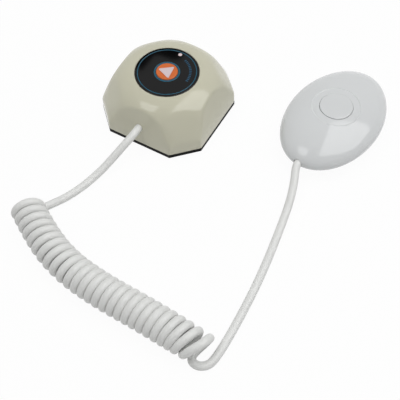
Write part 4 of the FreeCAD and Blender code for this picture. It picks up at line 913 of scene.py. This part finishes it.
dress(circuit_board("circuit_board"), "face_board", "main_board", "pendant_board")
case_black = moulded_plastic("component_case", (0.02, 0.02, 0.021), 0.45, cloud=0.3, peel_size=3000.0,
                             peel_depth=0.01)
dress(case_black, "call_switch_body", "call_switch_plunger", "pendant_switch_body", "pendant_switch_plunger",
      "board_link", "battery_holder", "sounder", "cord_plug")
drawn_steel = plated_metal("drawn_steel", (0.62, 0.61, 0.60), 0.28, (6.0, 400.0, 60.0))
dress(drawn_steel, "battery_cell", "battery_clip", "radio_module")
dress(milky_acrylic, "face_leds")
standoff_places = [(21.0 * i, 9.0 * j) for i in (1, -1) for j in (1, -1)]
clamp_places = [(5.0 * i, -23.4) for i in (1, -1)]
screws("face_board_pan_screws", "face_board_screws", "call_unit", post_places,
       FACE_BOARD_TOP - BOARD_THICKNESS, SMALL_SCREW, 5.4, upward=True)
screws("main_board_pan_screws", "main_board_screws", "call_unit", standoff_places, 6.8, SMALL_SCREW, 3.8)
screws("clamp_pan_screws", "cord_clamp_screws", "call_unit", clamp_places, 16.0, SMALL_SCREW, 6.8)


# Hand pendant
# Two egg-shaped shells of white plastic meet low on the egg and are screwed together from below. A
# round button stands in a shallow land on top, and the cord enters at the nose.

PENDANT_PLACE = (85.6, 28.4)
PENDANT_TURN = math.radians(-6.7)
EGG = (24.9, 36.1, 11.3)
EGG_TAPER = 0.05
EGG_MIDDLE = 9.3
EGG_WALL = 1.8
PARTING = 6.5
PARTING_EDGE = 0.12
LAND_RADIUS = 12.75
LAND_DEPTH = 0.3
BUTTON_BORE = 8.86
BUTTON_RADIUS = 8.7
EGG_COLUMNS = 288
CIRCLE_TURN = math.radians(48)
PENDANT_WHITE = (0.665, 0.680, 0.685)
PENDANT_BOSSES = [(0.0, 25.3), (16.3, -8.0), (-16.3, -8.0)]
PEG_PLACES = [(9.3 * side, y) for side in (1, -1) for y in (-13.8, 16.8)]
# Upright pins inside the shells, added or cut away: radius, floor, roof
UPPER_BOSS, UPPER_BOSS_HOLE = (2.6, PARTING, 20.0), (1.25, PARTING - 1, 11.5)
LOWER_BOSS, HEAD_HOLE, SHANK_HOLE = (3.2, 0.0, PARTING), (2.55, -1.0, 4.0), (1.45, 0.0, PARTING + 1)
PEG, PEG_TIP = (1.8, 1.0, 7.6), (0.9, 1.5, 9.9)
# The button's flange (radius, floor, roof), its hollow (radius, roof) and its stem (radius, floor)
BUTTON_FLANGE = (10.2, 16.6, 17.5)
HOLLOW = (7.1, 19.0)
STEM = (2.5, 13.9)


def egg_height(x, y, inset):
    """Height of the egg's upper face, shrunk by inset, over a place."""
    across, along, up = (axis - inset for axis in EGG)
    return EGG_MIDDLE + up * np.sqrt(np.clip(1 - (x / across) ** 2 - (y / along) ** 2, 0, None))


def egg_rings(inset, turns):
    """Level ellipses of the egg shrunk by inset, at the given turns above its middle."""
    across, along, up = (axis - inset for axis in EGG)
    ring = circle(1.0, 0.0, EGG_COLUMNS)
    return np.stack([
        ring * (across * math.cos(turn), along * math.cos(turn), 1) + (0, 0, EGG_MIDDLE + up * math.sin(turn))
        for turn in turns
    ])


def on_egg(ring, inset, depth=0.0):
    """The ring brought to the upper face of the egg shrunk by inset, less the depth."""
    return np.column_stack([ring[:, :2], egg_height(ring[:, 0], ring[:, 1], inset) - depth])


def egg_to_circle(inset, radius, shares):
    """Rings on the egg that change from the ellipse at the circle turn to a circle of the radius."""
    ring = circle(1.0, 0.0, EGG_COLUMNS)
    across, along = (axis * math.cos(CIRCLE_TURN) for axis in (EGG[0] - inset, EGG[1] - inset))
    sizes = [
        ((1 - share) * across + share * radius, (1 - share) * along + share * radius, 1) for share in shares
    ]
    return np.stack([on_egg(ring * size, inset) for size in sizes])


def egg_circles(outline):
    """Circles about the button's axis, each (radius, depth below the egg)."""
    return np.stack([on_egg(circle(radius, 0.0, EGG_COLUMNS), 0.0, depth) for radius, depth in outline])


def parting_turn(inset, height):
    return math.asin((height - EGG_MIDDLE) / (EGG[2] - inset))


def tapered(piece):
    """Narrows the egg towards its far end: x is scaled by 1 - taper times (y over the half length)
    squared, on the far half only."""
    points = np.array([vertex.co for vertex in piece.data.vertices])
    points[:, 0] *= 1 - EGG_TAPER * np.clip(points[:, 1] / (EGG[1] * MM), 0, 1) ** 2
    piece.data.vertices.foreach_set("co", points.ravel())


def in_pendant_place(piece, body, node, material):
    move = Matrix.Translation(Vector((*PENDANT_PLACE, 0)) * MM)
    piece.data.transform(move @ Matrix.Rotation(PENDANT_TURN, 4, "Z"))
    piece.data.materials.append(material)
    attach(piece, body)
    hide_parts(node)


def egg_filling():
    """The egg less half its wall, to trim ribs so that they end inside the wall."""
    return surface("egg_filling", egg_rings(0.5 * EGG_WALL, np.radians(np.linspace(-89, 89, 61))), "poles")


def nose_hole():
    """The cord's hole along the egg's length, flared at its mouth."""
    return lying_pin([(-37.5, 2.5), (-34.0, CORD_HOLE_RADIUS), (-28.2, CORD_HOLE_RADIUS)], EGG_MIDDLE)


bore_edge = [(BUTTON_BORE + 0.2, LAND_DEPTH), (BUTTON_BORE + 0.08, LAND_DEPTH + 0.04),
             (BUTTON_BORE + 0.02, LAND_DEPTH + 0.11), (BUTTON_BORE, LAND_DEPTH + 0.22)]
land_edge = [(LAND_RADIUS + 0.25, 0.0), (LAND_RADIUS + 0.1, 0.05), (LAND_RADIUS - 0.02, 0.15),
             (LAND_RADIUS - 0.14, 0.25), (LAND_RADIUS - 0.3, LAND_DEPTH)]
top_shell = surface("pendant_upper_shell", np.concatenate([
    egg_rings(PARTING_EDGE, [parting_turn(PARTING_EDGE, PARTING)]),
    egg_rings(0.0, np.linspace(parting_turn(0.0, PARTING + PARTING_EDGE), CIRCLE_TURN, 56)),
    egg_to_circle(0.0, LAND_RADIUS + 0.4, np.linspace(0, 1, 18)[1:]),
    egg_circles(land_edge),
    egg_circles([(radius, LAND_DEPTH) for radius in np.linspace(LAND_RADIUS - 0.5, BUTTON_BORE + 0.4, 8)]),
    egg_circles(bore_edge),
    on_egg(circle(BUTTON_BORE, 0.0, EGG_COLUMNS), EGG_WALL)[None],
    egg_to_circle(EGG_WALL, BUTTON_BORE, np.linspace(1, 0, 12)[1:]),
    egg_rings(EGG_WALL, np.linspace(CIRCLE_TURN, parting_turn(EGG_WALL, PARTING), 24)[1:]),
]))
for place in PENDANT_BOSSES:
    combined(top_shell, combined(upright_pin(*UPPER_BOSS, place), egg_filling(), "INTERSECT"), "UNION")
    combined(top_shell, upright_pin(*UPPER_BOSS_HOLE, place), "DIFFERENCE")
combined(top_shell, nose_hole(), "DIFFERENCE")

flat_turn = parting_turn(0.0, 0.0)
floor_turn = parting_turn(EGG_WALL, EGG_WALL)
bottom_shell = surface("pendant_lower_shell", np.concatenate([
    np.stack([egg_rings(0.0, [flat_turn])[0] * (share, share, 1) for share in (0.05, 0.4, 0.8)]),
    egg_rings(0.0, np.linspace(flat_turn, parting_turn(0.0, PARTING - PARTING_EDGE), 36)),
    egg_rings(PARTING_EDGE, [parting_turn(PARTING_EDGE, PARTING)]),
    egg_rings(EGG_WALL, np.linspace(parting_turn(EGG_WALL, PARTING), floor_turn, 36)),
    np.stack([egg_rings(EGG_WALL, [floor_turn])[0] * (share, share, 1) for share in (0.8, 0.4, 0.05)]),
]), "poles")
for place in PENDANT_BOSSES:
    combined(bottom_shell, combined(upright_pin(*LOWER_BOSS, place), egg_filling(), "INTERSECT"), "UNION")
    combined(bottom_shell, upright_pin(*HEAD_HOLE, place), "DIFFERENCE")
    combined(bottom_shell, upright_pin(*SHANK_HOLE, place), "DIFFERENCE")
for place in PEG_PLACES:
    combined(bottom_shell, upright_pin(*PEG, place), "UNION")
    combined(bottom_shell, upright_pin(*PEG_TIP, place), "UNION")
combined(bottom_shell, nose_hole(), "DIFFERENCE")

button_top = [(radius, 0.0) for radius in np.linspace(0.05, 0.975, 14) * BUTTON_RADIUS]
button_top += [(BUTTON_RADIUS - 0.12, 0.03), (BUTTON_RADIUS - 0.03, 0.1), (BUTTON_RADIUS, 0.24)]
button = surface("round_button", np.concatenate([
    egg_circles(button_top),
    np.stack([circle(radius, height, EGG_COLUMNS) for radius, height in (
        (BUTTON_RADIUS, BUTTON_FLANGE[2]), (BUTTON_FLANGE[0], BUTTON_FLANGE[2]),
        (BUTTON_FLANGE[0], BUTTON_FLANGE[1]), (HOLLOW[0], BUTTON_FLANGE[1]), HOLLOW,
        (STEM[0], HOLLOW[1]), STEM, (0.2, STEM[1]),
    )]),
]), "poles")
white_plastic = moulded_plastic("white_plastic", PENDANT_WHITE, 0.09, cloud=0.03, wander=0.03)
tapered(top_shell)
tapered(bottom_shell)
in_pendant_place(top_shell, "call_unit", "pendant_top_shell", white_plastic)
in_pendant_place(bottom_shell, "call_unit", "pendant_bottom_shell", white_plastic)
in_pendant_place(button, "pendant_button_body", "pendant_button", white_plastic)
turn = Matrix.Rotation(PENDANT_TURN, 2)
boss_in_unit = [tuple(turn @ Vector(place) + Vector(PENDANT_PLACE)) for place in PENDANT_BOSSES]
screws("pendant_pan_screws", "pendant_screws", "call_unit", boss_in_unit, 4.0, LARGE_SCREW, 7.0, upward=True)
dress(cord_jacket, "pendant_cord_clamp", "pendant_tail_wires")
